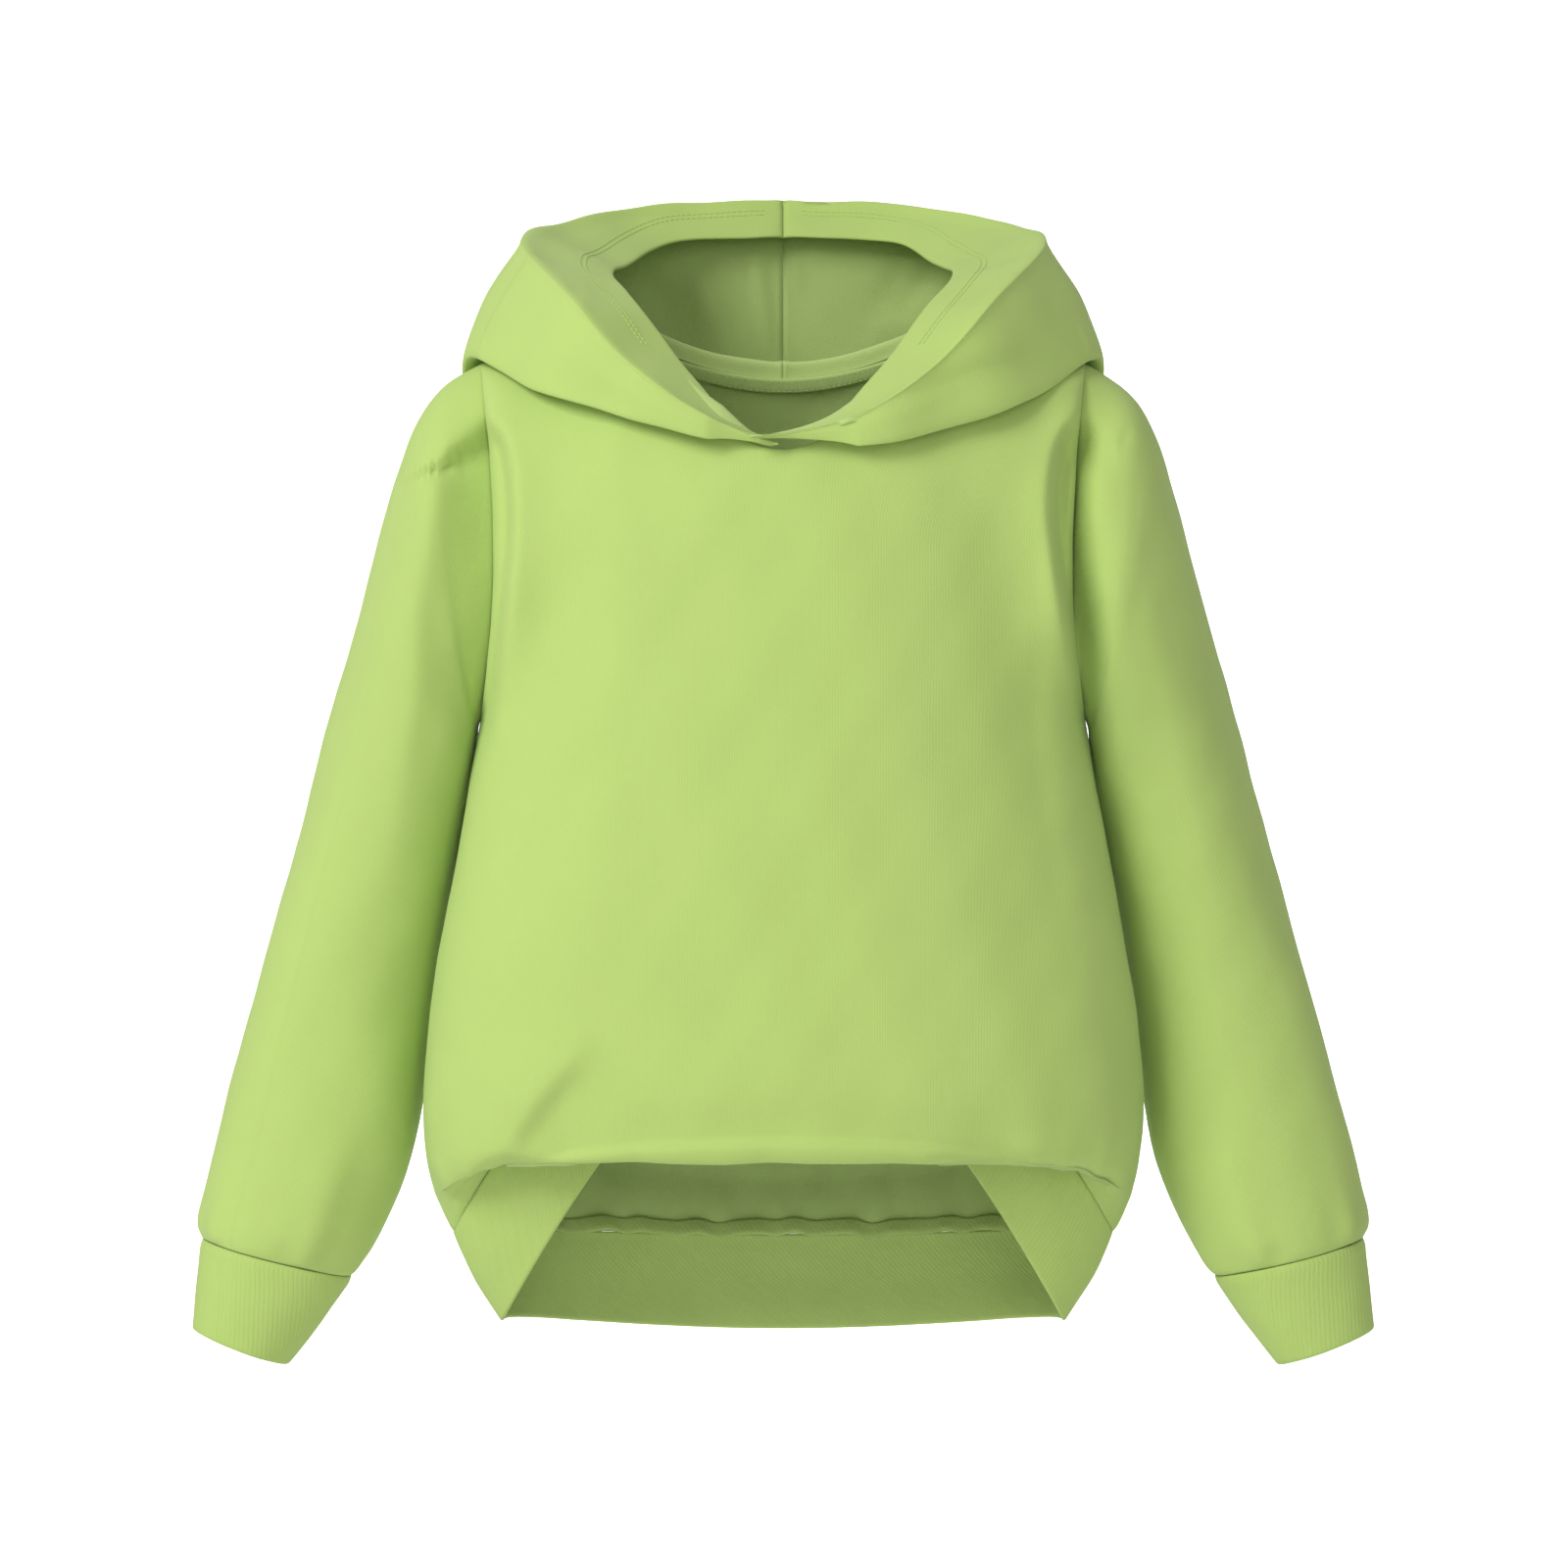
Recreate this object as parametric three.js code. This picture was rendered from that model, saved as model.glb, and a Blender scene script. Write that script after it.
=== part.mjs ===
// A child's pullover hoodie in plain fleece, filled out as it is when worn.
// Millimetres, +Z up. The front faces -Y and the wearer's left arm is on +X.
// The origin lies midway between the two side neck points, where the shoulders carry the garment.
import * as THREE from "three";
import { mergeVertices } from "three/addons/utils/BufferGeometryUtils.js";

// Cloth
const FLEECE_THICK = 2;
const RIB_THICK = 2.4;
const SEAM_GAP = 0.3;
const FLEECE_COLOUR = 0xb9d377;
const RIB_COLOUR = 0xb4cf72;

// Torso above the underarm: a dome closed along the shoulder seams and cut by the neckline
const NECK_HALF_WIDTH = 85;
const NECK_FRONT_REACH = 84;
const NECK_BACK_REACH = 52;
const SIDE_NECK_HEIGHT = 14;
const NECK_RISE = 6;
const SHOULDER_DROP = 17;
const SHOULDER_CURVE = 1.3;
const CHEST_HEIGHT = -105;
const CHEST_FRONT_DEPTH = 92;
const CHEST_BACK_DEPTH = 82;
const SECTION_POWER = 2.3;

// Armhole
const ACROSS_CHEST_HALF = 152;
const SHOULDER_TIP_OUT = 8;
const UNDERARM_OUT = 8;
const ARMHOLE_HALF_DEPTH = 48;
const ARMHOLE_RISE = 102;
const ARMHOLE_FALL = 85;
const ARMHOLE_SPREAD = 8;
const ARMHOLE_HOLD = 40;
const SHOULDER_SQUARE_RISE = 60;

// Front below the underarm, down to the overhanging fold and back up inside it to the rib.
// middle and side are heights; spread says how close to the side seam one turns into the other.
const FRONT_SECTIONS = [
  { middle: -190, side: -190, spread: 4, halfWidth: 160, depth: 94 },
  { middle: -240, side: -240, spread: 4, halfWidth: 168.5, depth: 96 },
  { middle: -295, side: -300, spread: 4, halfWidth: 179.5, depth: 98 },
  { middle: -345, side: -352, spread: 5, halfWidth: 187.5, depth: 99 },
  { middle: -386, side: -396, spread: 6, halfWidth: 191, depth: 101 },
  { middle: -411, side: -424, spread: 7, halfWidth: 189, depth: 100 },
  { middle: -421, side: -441, spread: 8, halfWidth: 185, depth: 93 },
  { middle: -412, side: -449, spread: 6, halfWidth: 182, depth: 83 },
  { middle: -383, side: -456, spread: 4, halfWidth: 179, depth: 75 },
  { middle: -350, side: -464, spread: 2.9, halfWidth: 175, depth: 68 },
];

const BACK_SECTIONS = [
  { middle: -190, side: -190, spread: 2, halfWidth: 160, depth: 85 },
  { middle: -240, side: -240, spread: 2, halfWidth: 168.5, depth: 84 },
  { middle: -297, side: -300, spread: 2, halfWidth: 179.5, depth: 82 },
  { middle: -350, side: -352, spread: 2, halfWidth: 187.5, depth: 81 },
  { middle: -400, side: -396, spread: 2, halfWidth: 191, depth: 80 },
  { middle: -440, side: -434, spread: 2, halfWidth: 187, depth: 78 },
  { middle: -471, side: -464, spread: 2, halfWidth: 175, depth: 74 },
];

// Lower edge of the rib band. At the front it climbs from the side corner and hides behind the fold.
const HEM_HALF_WIDTH = 150;
const HEM_FRONT_DEPTH = 60;
const HEM_BACK_DEPTH = 70;
const HEM_SIDE_HEIGHT = -510;
const HEM_BACK_HEIGHT = -521;
const HEM_FRONT_HEIGHT = -395;
const HEM_FLAT_HALF = 72;
const HEM_CLIMB_POWER = 1.2;
const BAND_SWELL = 2;

// Sleeve sections below the armhole, each from its inner to its outer point; back is its shift to the rear.
const SLEEVE_SECTIONS = [
  { innerX: 162.3, innerZ: -197, outerX: 181, outerZ: -16, back: 2, halfDepth: 54 },
  { innerX: 163, innerZ: -204, outerX: 195, outerZ: -34, back: 6, halfDepth: 58 },
  { innerX: 163.8, innerZ: -212, outerX: 206, outerZ: -64, back: 12, halfDepth: 60 },
  { innerX: 165, innerZ: -223, outerX: 218, outerZ: -105, back: 18, halfDepth: 60 },
  { innerX: 167.5, innerZ: -240, outerX: 231, outerZ: -151, back: 25, halfDepth: 58 },
  { innerX: 172.5, innerZ: -266, outerX: 247, outerZ: -206, back: 30, halfDepth: 55 },
  { innerX: 180.5, innerZ: -305, outerX: 264, outerZ: -268, back: 32, halfDepth: 51 },
  { innerX: 187.5, innerZ: -347, outerX: 277, outerZ: -315, back: 32, halfDepth: 48 },
  { innerX: 192, innerZ: -389, outerX: 289, outerZ: -361, back: 28, halfDepth: 46 },
  { innerX: 198, innerZ: -424, outerX: 300, outerZ: -403, back: 23, halfDepth: 44 },
  { innerX: 209, innerZ: -453, outerX: 308, outerZ: -438, back: 18, halfDepth: 42 },
  { innerX: 219, innerZ: -474, outerX: 311.5, outerZ: -457, back: 14, halfDepth: 39 },
  { innerX: 229, innerZ: -488, outerX: 310, outerZ: -467, back: 12, halfDepth: 35 },
];

const CUFF_SECTIONS = [
  { innerX: 229.2, innerZ: -488.5, outerX: 310, outerZ: -467.6, back: 12, halfDepth: 35 },
  { innerX: 236, innerZ: -499, outerX: 311, outerZ: -480, back: 11, halfDepth: 32 },
  { innerX: 249, innerZ: -517, outerX: 313, outerZ: -498, back: 10, halfDepth: 29 },
  { innerX: 262.5, innerZ: -534, outerX: 314.5, outerZ: -514, back: 9, halfDepth: 26 },
];
const SLEEVE_POWER = 2.1;

// Hood, laid open round the neck with its bag behind the shoulders. A row is one section, from the
// centre front round to the centre back. turn is the angle of its neck point, floorX and floorTilt
// say how far it lies on the shoulders, then come the points of its outer corner, the middle of its
// standing wall, its crest and its rim.
const hoodSection = (turn, floorX, floorTilt, corner, wall, crest, rim) => {
  return { turn, floorX, floorTilt, corner, wall, crest, rim };
};
const HOOD_SECTIONS = [
  hoodSection(5, 9, 21, [9, -91, -55], [7, -92, -54], [5, -92, -53], [3, -91, -52]),
  hoodSection(27, 42, 30, [47, -90, -47], [48, -93, -40], [46, -93, -33], [27, -80, -37]),
  hoodSection(50, 78, 41, [91, -75, -34], [88, -82, -21], [80, -84, -8], [48, -64, -13]),
  hoodSection(73, 112, 56, [130, -56, -21], [123, -62, 3], [110, -64, 27], [76, -36, 25]),
  hoodSection(97, 140, 84, [168, -2, -1], [158, 1, 30], [138, 4, 62], [91, 8, 46]),
  hoodSection(124, 128, 42, [160, 62, -46], [152, 78, 20], [124, 70, 79], [82, 62, 58]),
  hoodSection(152, 74, 4, [98, 104, -118], [92, 138, -30], [73, 119, 93], [58, 104, 74]),
  hoodSection(180, 0, 0, [0, 112, -146], [0, 152, -50], [0, 132, 97.5], [0, 118, 78]),
];
const HOOD_RESTS = [0.15, 0.42, 0.7, 1];
const HOOD_CLEAR = 5;
const NECK_SEAM_LIFT = 0.9;
const HOOD_ROLL_UP = 9;
const HOOD_OVERLAP = 20;
const HOOD_OVER_STEP = 6;
const HOOD_OVER_LIFT = 3.5;
const HOOD_FRONT_STAND = 9;
const HOOD_OVER_SAG = 7;
const HOOD_SAG_REACH = 0.57;
const CREST_SHARPNESS = { wall: 0.2, rim: 0.3 };

// Grid steps; the columns of a panel lie closer together towards its middle
const COLUMN_SPREAD = 1.3;
const FRONT_STEPS = { across: 26, dome: 5, armhole: 5, body: 15 };
const BACK_STEPS = { across: 20, dome: 5, armhole: 5, body: 8 };
const BAND_STEPS = { around: 48, down: 3 };
const SLEEVE_STEPS = { around: 20, along: 22 };
const CUFF_STEPS = { around: 20, along: 3 };
const HOOD_STEPS = { around: 20, along: 22 };

const mix = (a, b, t) => a + (b - a) * t;
const radians = THREE.MathUtils.degToRad;
const point = (x, y, z) => new THREE.Vector3(x, y, z);

function spline(before, from, to, after, t) {
  const bend = 2 * before - 5 * from + 4 * to - after;
  const twist = 3 * from - before - 3 * to + after;
  return from + 0.5 * t * (to - before + t * (bend + t * twist));
}

// A smooth value between the rows of a table; place runs from 0 at the first row to 1 at the last
function along(rows, place, read) {
  const last = rows.length - 1;
  const index = Math.min(Math.floor(place * last), last - 1);
  const value = (i) => {
    if (i < 0) return 2 * read(rows[0]) - read(rows[1]);
    if (i > last) return 2 * read(rows[last]) - read(rows[last - 1]);
    return read(rows[i]);
  };
  const t = place * last - index;
  return spline(value(index - 1), value(index), value(index + 1), value(index + 2), t);
}

function alongPoints(points, place) {
  return point(
    along(points, place, (p) => p.x),
    along(points, place, (p) => p.y),
    along(points, place, (p) => p.z),
  );
}

// How far out and how far forward a rounded section is at a place across it, from -1 to 1
function sectionOut(across) {
  return Math.sign(across) * Math.abs(Math.sin((across * Math.PI) / 2)) ** (2 / SECTION_POWER);
}

function sectionForward(across) {
  return Math.max(Math.cos((across * Math.PI) / 2), 0) ** (2 / SECTION_POWER);
}

function shoulderHeight(x) {
  const out = Math.abs(x) - NECK_HALF_WIDTH;
  if (out < 0) return SIDE_NECK_HEIGHT + NECK_RISE * (1 - (x / NECK_HALF_WIDTH) ** 2);
  const reach = ACROSS_CHEST_HALF + SHOULDER_TIP_OUT - NECK_HALF_WIDTH;
  return SIDE_NECK_HEIGHT - SHOULDER_DROP * Math.min(out / reach, 1) ** SHOULDER_CURVE;
}

// Depth of a rounded section whose side edge stands forward of the side seam by edge
function edgedDepth(full, edge, across) {
  return full * sectionForward(across) + edge * Math.abs(sectionOut(across)) ** ARMHOLE_SPREAD;
}

function chestDepth(side, across) {
  return edgedDepth(side < 0 ? CHEST_FRONT_DEPTH : CHEST_BACK_DEPTH, ARMHOLE_HALF_DEPTH, across);
}

// The dome: across runs from -1 to 1 and tilt from 0 at the chest to 90 degrees at the shoulder seam
function dome(side, across, tilt) {
  const up = Math.sin(tilt);
  const x = sectionOut(across) * (ACROSS_CHEST_HALF + SHOULDER_TIP_OUT * up * up);
  const rise = shoulderHeight(x) - CHEST_HEIGHT;
  return point(x, side * chestDepth(side, across) * Math.cos(tilt), CHEST_HEIGHT + rise * up);
}

// The tilt at which the neckline cuts a column of the dome, or 90 degrees out on the shoulder
function topTilt(side, across) {
  const reach = side < 0 ? NECK_FRONT_REACH : NECK_BACK_REACH;
  const depth = chestDepth(side, across);
  let tilt = Math.PI / 2;
  for (let pass = 0; pass < 12; pass += 1) {
    const share = dome(side, across, tilt).x / NECK_HALF_WIDTH;
    if (Math.abs(share) >= 1) return Math.PI / 2;
    tilt = mix(tilt, Math.acos(Math.min((reach * Math.sqrt(1 - share * share)) / depth, 1)), 0.7);
  }
  return tilt;
}

// Across place of the dome at a given x and tilt
function acrossAt(x, tilt) {
  const up = Math.sin(tilt);
  const share = Math.min(Math.abs(x) / (ACROSS_CHEST_HALF + SHOULDER_TIP_OUT * up * up), 1);
  return (Math.sign(x) * Math.asin(share ** (SECTION_POWER / 2)) * 2) / Math.PI;
}

// A row beside the armhole. Its edge follows the armhole; inside the panel that stand fades out
// smoothly, so the chest runs on into the body with no ridge.
function armholeRow(side, across, share) {
  const angle = (share * Math.PI) / 2;
  const width = ACROSS_CHEST_HALF + UNDERARM_OUT * Math.cos(angle) ** 2;
  const sections = side < 0 ? FRONT_SECTIONS : BACK_SECTIONS;
  const chest = side < 0 ? CHEST_FRONT_DEPTH : CHEST_BACK_DEPTH;
  const full = mix(chest, sections[0].depth, Math.cos(angle));
  const out = sectionOut(across);
  const stand = mix(Math.sin(angle) ** 3, Math.sin(angle), Math.abs(out) ** ARMHOLE_HOLD);
  const y = side * edgedDepth(full, ARMHOLE_HALF_DEPTH * stand, across);
  return point(out * width, y, CHEST_HEIGHT - ARMHOLE_FALL * Math.cos(angle));
}

function bodyRow(side, across, place) {
  const rows = side < 0 ? FRONT_SECTIONS : BACK_SECTIONS;
  const out = sectionOut(across);
  const turn = Math.abs(out) ** along(rows, place, (r) => r.spread);
  const z = mix(along(rows, place, (r) => r.middle), along(rows, place, (r) => r.side), turn);
  const y = side * along(rows, place, (r) => r.depth) * sectionForward(across);
  return point(out * along(rows, place, (r) => r.halfWidth), y, z);
}

// Rows of points of the front (side -1) or back (side 1) panel, from the neckline down to the rib seam
function panelRows(side, steps) {
  const rows = [];
  for (let row = 0; row <= steps.dome + steps.armhole + steps.body; row += 1) {
    const line = [];
    for (let column = 0; column <= steps.across; column += 1) {
      const even = (2 * column) / steps.across - 1;
      const across = Math.sign(even) * Math.abs(even) ** COLUMN_SPREAD;
      const downArmhole = (row - steps.dome) / steps.armhole;
      const downBody = (row - steps.dome - steps.armhole) / steps.body;
      let p;
      if (row <= steps.dome) p = dome(side, across, topTilt(side, across) * (1 - row / steps.dome));
      else if (downArmhole <= 1) p = armholeRow(side, across, 1 - downArmhole);
      else p = bodyRow(side, across, downBody);
      line.push(p);
    }
    rows.push(line);
  }
  return rows;
}

// Draws a panel's edges back by half a seam gap where they meet the other panel and the sleeves
function openSeams(rows, side) {
  const last = rows[0].length - 1;
  for (const p of rows[0]) {
    const onShoulder = Math.abs(p.x) > NECK_HALF_WIDTH;
    if (onShoulder) p.y += (side * SEAM_GAP) / 2;
  }
  for (const line of rows) {
    for (const end of [0, last]) {
      const p = line[end];
      if (p.z < CHEST_HEIGHT - ARMHOLE_FALL * 0.6) p.y += (side * SEAM_GAP) / 2;
      p.x -= (Math.sign(p.x) * SEAM_GAP) / 2;
    }
  }
  return rows;
}

// The armhole loop of one arm: angle 0 at the shoulder tip, a quarter turn at the front
function armhole(angle) {
  const up = Math.cos(angle);
  const out = up > 0 ? SHOULDER_TIP_OUT : UNDERARM_OUT;
  const reach = up > 0 ? ARMHOLE_RISE : ARMHOLE_FALL;
  const x = ACROSS_CHEST_HALF + out * up * up + SEAM_GAP / 2;
  return point(x, -ARMHOLE_HALF_DEPTH * Math.sin(angle), CHEST_HEIGHT + reach * up);
}

function armRing(section, angle) {
  const out = Math.cos(angle);
  const front = Math.sin(angle);
  const round = 2 / SLEEVE_POWER;
  const share = Math.sign(out) * Math.abs(out) ** round;
  const x = mix(section.innerX, section.outerX, (share + 1) / 2);
  const z = mix(section.innerZ, section.outerZ, (share + 1) / 2);
  return point(x, section.back - Math.sign(front) * Math.abs(front) ** round * section.halfDepth, z);
}

// Rows of rings along a tube, from one column of section points for each angle
function tubeRows(columnAt, steps) {
  const rows = [];
  for (let row = 0; row <= steps.along; row += 1) rows.push([]);
  for (let step = 0; step < steps.around; step += 1) {
    const column = columnAt((step / steps.around) * Math.PI * 2);
    rows.forEach((line, row) => line.push(alongPoints(column, row / steps.along)));
  }
  return rows;
}

function sleeveRows() {
  const column = (angle) => [armhole(angle), ...SLEEVE_SECTIONS.map((s) => armRing(s, angle))];
  return tubeRows(column, SLEEVE_STEPS);
}

function cuffRows() {
  return tubeRows((angle) => CUFF_SECTIONS.map((s) => armRing(s, angle)), CUFF_STEPS);
}

// The rib band: angle 0 at the wearer's left side seam, a quarter turn at the centre front
function bandColumn(angle) {
  const atFront = angle <= Math.PI;
  const side = atFront ? -1 : 1;
  const across = 1 - (2 * (atFront ? angle : Math.PI * 2 - angle)) / Math.PI;
  const top = bodyRow(side, across, 1);
  const sideness = Math.abs(sectionOut(across)) ** 2;
  top.z -= (atFront ? sideness : 1) * SEAM_GAP * 1.5;
  if (atFront) top.y += (1 - sideness) * SEAM_GAP * 1.5;
  const x = HEM_HALF_WIDTH * sectionOut(across);
  const climb = Math.max(Math.abs(x) - HEM_FLAT_HALF, 0) / (HEM_HALF_WIDTH - HEM_FLAT_HALF);
  const frontZ = mix(HEM_FRONT_HEIGHT, HEM_SIDE_HEIGHT, climb ** HEM_CLIMB_POWER);
  const backZ = mix(HEM_BACK_HEIGHT, HEM_SIDE_HEIGHT, sideness);
  const depth = atFront ? HEM_FRONT_DEPTH : HEM_BACK_DEPTH;
  const hem = point(x, side * depth * sectionForward(across), atFront ? frontZ : backZ);
  const middle = top.clone().lerp(hem, 0.5);
  const swell = BAND_SWELL / Math.hypot(middle.x, middle.y);
  middle.x *= 1 + swell;
  middle.y *= 1 + swell;
  return [top, middle, hem];
}

function bandRows() {
  return tubeRows(bandColumn, { around: BAND_STEPS.around, along: BAND_STEPS.down });
}

// One side of the hood: a section's control points from the neck seam to the rim
function hoodColumn(place, over) {
  const read = (key, index) => along(HOOD_SECTIONS, place, (r) => r[key][index]);
  const turn = radians(along(HOOD_SECTIONS, place, (r) => r.turn));
  const side = Math.cos(turn) > 0 ? -1 : 1;
  const reach = side < 0 ? NECK_FRONT_REACH : NECK_BACK_REACH;
  const neckX = NECK_HALF_WIDTH * Math.sin(turn);
  const neckY = reach * Math.abs(Math.cos(turn));
  const neckTilt = topTilt(side, acrossAt(neckX, radians(50)));
  const neck = dome(side, acrossAt(neckX, neckTilt), neckTilt);
  neck.y = side * neckY;
  const roll = neck.clone();
  roll.z += HOOD_ROLL_UP;
  const floorTilt = radians(along(HOOD_SECTIONS, place, (r) => r.floorTilt));
  const floorX = along(HOOD_SECTIONS, place, (r) => r.floorX);
  const resting = HOOD_RESTS.map((share) => {
    const tilt = mix(neckTilt, floorTilt, share);
    const rest = dome(side, acrossAt(mix(neck.x, floorX, share), tilt), tilt);
    rest.z += HOOD_CLEAR * Math.sin(tilt) + 1;
    rest.y += side * HOOD_CLEAR * Math.cos(tilt);
    return rest;
  });
  const corner = point(read("corner", 0), read("corner", 1), read("corner", 2));
  const crest = point(read("crest", 0), read("crest", 1), read("crest", 2));
  const rim = point(read("rim", 0), read("rim", 1), read("rim", 2));
  const wall = point(read("wall", 0), read("wall", 1), read("wall", 2));
  if (over) {
    const sag = HOOD_OVER_SAG * Math.sin(Math.PI * Math.min(place / HOOD_SAG_REACH, 1));
    corner.z -= sag;
    wall.z -= sag / 2;
  }
  neck.z += NECK_SEAM_LIFT;
  const beforeCrest = crest.clone().lerp(wall, CREST_SHARPNESS.wall);
  const afterCrest = crest.clone().lerp(rim, CREST_SHARPNESS.rim);
  const path = [neck, roll, ...resting, corner, wall, beforeCrest, crest, afterCrest, rim];
  // At the centre front the hood simply stands up from its seam
  const stand = Math.max(1 - place * HOOD_FRONT_STAND, 0);
  path.forEach((p, i) => p.lerp(neck.clone().lerp(rim, i / (path.length - 1)), stand));
  path.forEach((p) => {
    p.x -= over ? stand * stand * HOOD_OVERLAP : 0;
    p.y -= over ? stand * HOOD_OVER_STEP : 0;
    p.z += over ? stand * HOOD_OVER_LIFT : 0;
  });
  return path;
}

function hoodRows(over) {
  const rows = [];
  for (let row = 0; row <= HOOD_STEPS.along; row += 1) rows.push([]);
  for (let step = 0; step <= HOOD_STEPS.around; step += 1) {
    const column = hoodColumn(step / HOOD_STEPS.around, over);
    rows.forEach((line, row) => line.push(alongPoints(column, row / HOOD_STEPS.along)));
  }
  for (const line of rows) line[HOOD_STEPS.around].x += SEAM_GAP / 2;
  return rows;
}

// Outward direction at each point of a grid of points
function outwardAt(rows, ring, flip) {
  const lastRow = rows.length - 1;
  const width = rows[0].length;
  const column = (c) => (ring ? (c + width) % width : Math.min(Math.max(c, 0), width - 1));
  return rows.map((line, r) =>
    line.map((unused, c) => {
      const down = rows[Math.min(r + 1, lastRow)][c].clone().sub(rows[Math.max(r - 1, 0)][c]);
      const side = line[column(c + 1)].clone().sub(line[column(c - 1)]);
      return down.cross(side).normalize().multiplyScalar(flip);
    }),
  );
}

// A closed wall of even thickness whose outer face goes through the grid's points
function wallFrom(rows, { thick, ring = false, flip = 1, adjust = null }) {
  const outward = outwardAt(rows, ring, flip);
  if (adjust) adjust(outward, rows);
  const width = rows[0].length;
  const count = rows.length * width;
  const positions = [];
  rows.flat().forEach((p) => positions.push(p.x, p.y, p.z));
  rows.forEach((line, r) =>
    line.forEach((p, c) => {
      const inner = p.clone().addScaledVector(outward[r][c], -thick);
      positions.push(inner.x, inner.y, inner.z);
    }),
  );
  const at = (r, c, layer) => layer * count + r * width + (c % width);
  const triangles = [];
  const quad = (a, b, c, d) => {
    if (flip > 0) triangles.push(a, b, c, a, c, d);
    else triangles.push(a, c, b, a, d, c);
  };
  const columns = ring ? width : width - 1;
  for (let r = 0; r < rows.length - 1; r += 1) {
    for (let c = 0; c < columns; c += 1) {
      quad(at(r, c, 0), at(r + 1, c, 0), at(r + 1, c + 1, 0), at(r, c + 1, 0));
      quad(at(r, c, 1), at(r, c + 1, 1), at(r + 1, c + 1, 1), at(r + 1, c, 1));
    }
  }
  const end = rows.length - 1;
  for (let c = 0; c < columns; c += 1) {
    quad(at(0, c, 0), at(0, c + 1, 0), at(0, c + 1, 1), at(0, c, 1));
    quad(at(end, c, 0), at(end, c, 1), at(end, c + 1, 1), at(end, c + 1, 0));
  }
  if (!ring) {
    for (let r = 0; r < end; r += 1) {
      quad(at(r, 0, 0), at(r, 0, 1), at(r + 1, 0, 1), at(r + 1, 0, 0));
      quad(at(r, columns, 0), at(r + 1, columns, 0), at(r + 1, columns, 1), at(r, columns, 1));
    }
  }
  const geometry = new THREE.BufferGeometry();
  geometry.setAttribute("position", new THREE.Float32BufferAttribute(positions, 3));
  geometry.setIndex(triangles);
  return mergeVertices(geometry, 1e-4);
}

// Turns the edge of a wall square to the seam, so that two walls meet face to face
function squareAt(directions, axis) {
  directions.forEach((d) => {
    d[axis] = 0;
    d.normalize();
  });
}

function squarePanel(outward, rows) {
  const last = rows[0].length - 1;
  squareAt(outward[0].filter((d, c) => Math.abs(rows[0][c].x) > NECK_HALF_WIDTH), "y");
  rows.forEach((line, r) => {
    const high = line[last].z > CHEST_HEIGHT + SHOULDER_SQUARE_RISE;
    const low = line[last].z < CHEST_HEIGHT - ARMHOLE_FALL + SEAM_GAP;
    const ends = [outward[r][0], outward[r][last]];
    if (high) squareAt(ends, "x");
    if (low) squareAt(ends, "y");
  });
}

function squareSleeve(outward, rows) {
  squareAt(outward[0].filter((d, c) => rows[0][c].z > CHEST_HEIGHT + SHOULDER_SQUARE_RISE), "x");
}

function squareHood(outward) {
  squareAt(outward.map((line) => line[line.length - 1]), "x");
}

function mirrored(rows) {
  return rows.map((line) => line.map((p) => point(-p.x, p.y, p.z)));
}

const group = new THREE.Group();

function addPiece(name, geometry, colour) {
  geometry.computeVertexNormals();
  const material = new THREE.MeshStandardMaterial({ color: colour, roughness: 0.95, metalness: 0 });
  const mesh = new THREE.Mesh(geometry, material);
  mesh.name = name;
  group.add(mesh);
}

function addPanel(name, side, steps) {
  const rows = openSeams(panelRows(side, steps), side);
  const shape = { thick: FLEECE_THICK, flip: side < 0 ? 1 : -1, adjust: squarePanel };
  addPiece(name, wallFrom(rows, shape), FLEECE_COLOUR);
}

addPanel("front", -1, FRONT_STEPS);
addPanel("back", 1, BACK_STEPS);
addPiece("hem_band", wallFrom(bandRows(), { thick: RIB_THICK, ring: true, flip: -1 }), RIB_COLOUR);

for (const arm of [
  { name: "left", flip: -1, place: (rows) => rows },
  { name: "right", flip: 1, place: mirrored },
]) {
  const sleeve = { thick: FLEECE_THICK, ring: true, flip: arm.flip, adjust: squareSleeve };
  addPiece(`sleeve_${arm.name}`, wallFrom(arm.place(sleeveRows()), sleeve), FLEECE_COLOUR);
  const cuff = { thick: RIB_THICK, ring: true, flip: arm.flip };
  addPiece(`cuff_${arm.name}`, wallFrom(arm.place(cuffRows()), cuff), RIB_COLOUR);
  const hood = { thick: FLEECE_THICK, flip: arm.flip, adjust: squareHood };
  const over = arm.name === "left";
  addPiece(`hood_${arm.name}`, wallFrom(arm.place(hoodRows(over)), hood), FLEECE_COLOUR);
}

export default group;
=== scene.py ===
"""A child's pullover hoodie in plain fleece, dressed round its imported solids.

Every piece is one cut of cloth: front, back, two sleeves, two hood halves, the rib band at the hem
and two rib cuffs. Each stands for the solid of the same name. Lengths in the shape tables are in
millimetres in the row's frame: the front faces -Y and the wearer's left arm is on +X.
"""

import math

import bpy
import numpy as np
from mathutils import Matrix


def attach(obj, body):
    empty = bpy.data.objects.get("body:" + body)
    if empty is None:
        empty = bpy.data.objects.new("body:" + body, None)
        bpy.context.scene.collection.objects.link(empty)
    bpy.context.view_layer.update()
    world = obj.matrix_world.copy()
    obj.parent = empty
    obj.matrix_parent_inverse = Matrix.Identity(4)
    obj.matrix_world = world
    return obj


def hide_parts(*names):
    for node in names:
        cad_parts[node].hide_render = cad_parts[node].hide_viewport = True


bl_info = {
    "name": "Pullover hoodie",
    "version": (1, 0, 0),
    "blender": (4, 5, 0),
    "location": "3D View > Sidebar > Hoodie",
    "description": "Makes a child's pullover hoodie in fleece with rib trims, piece by piece",
    "category": "Add Mesh",
}

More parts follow.
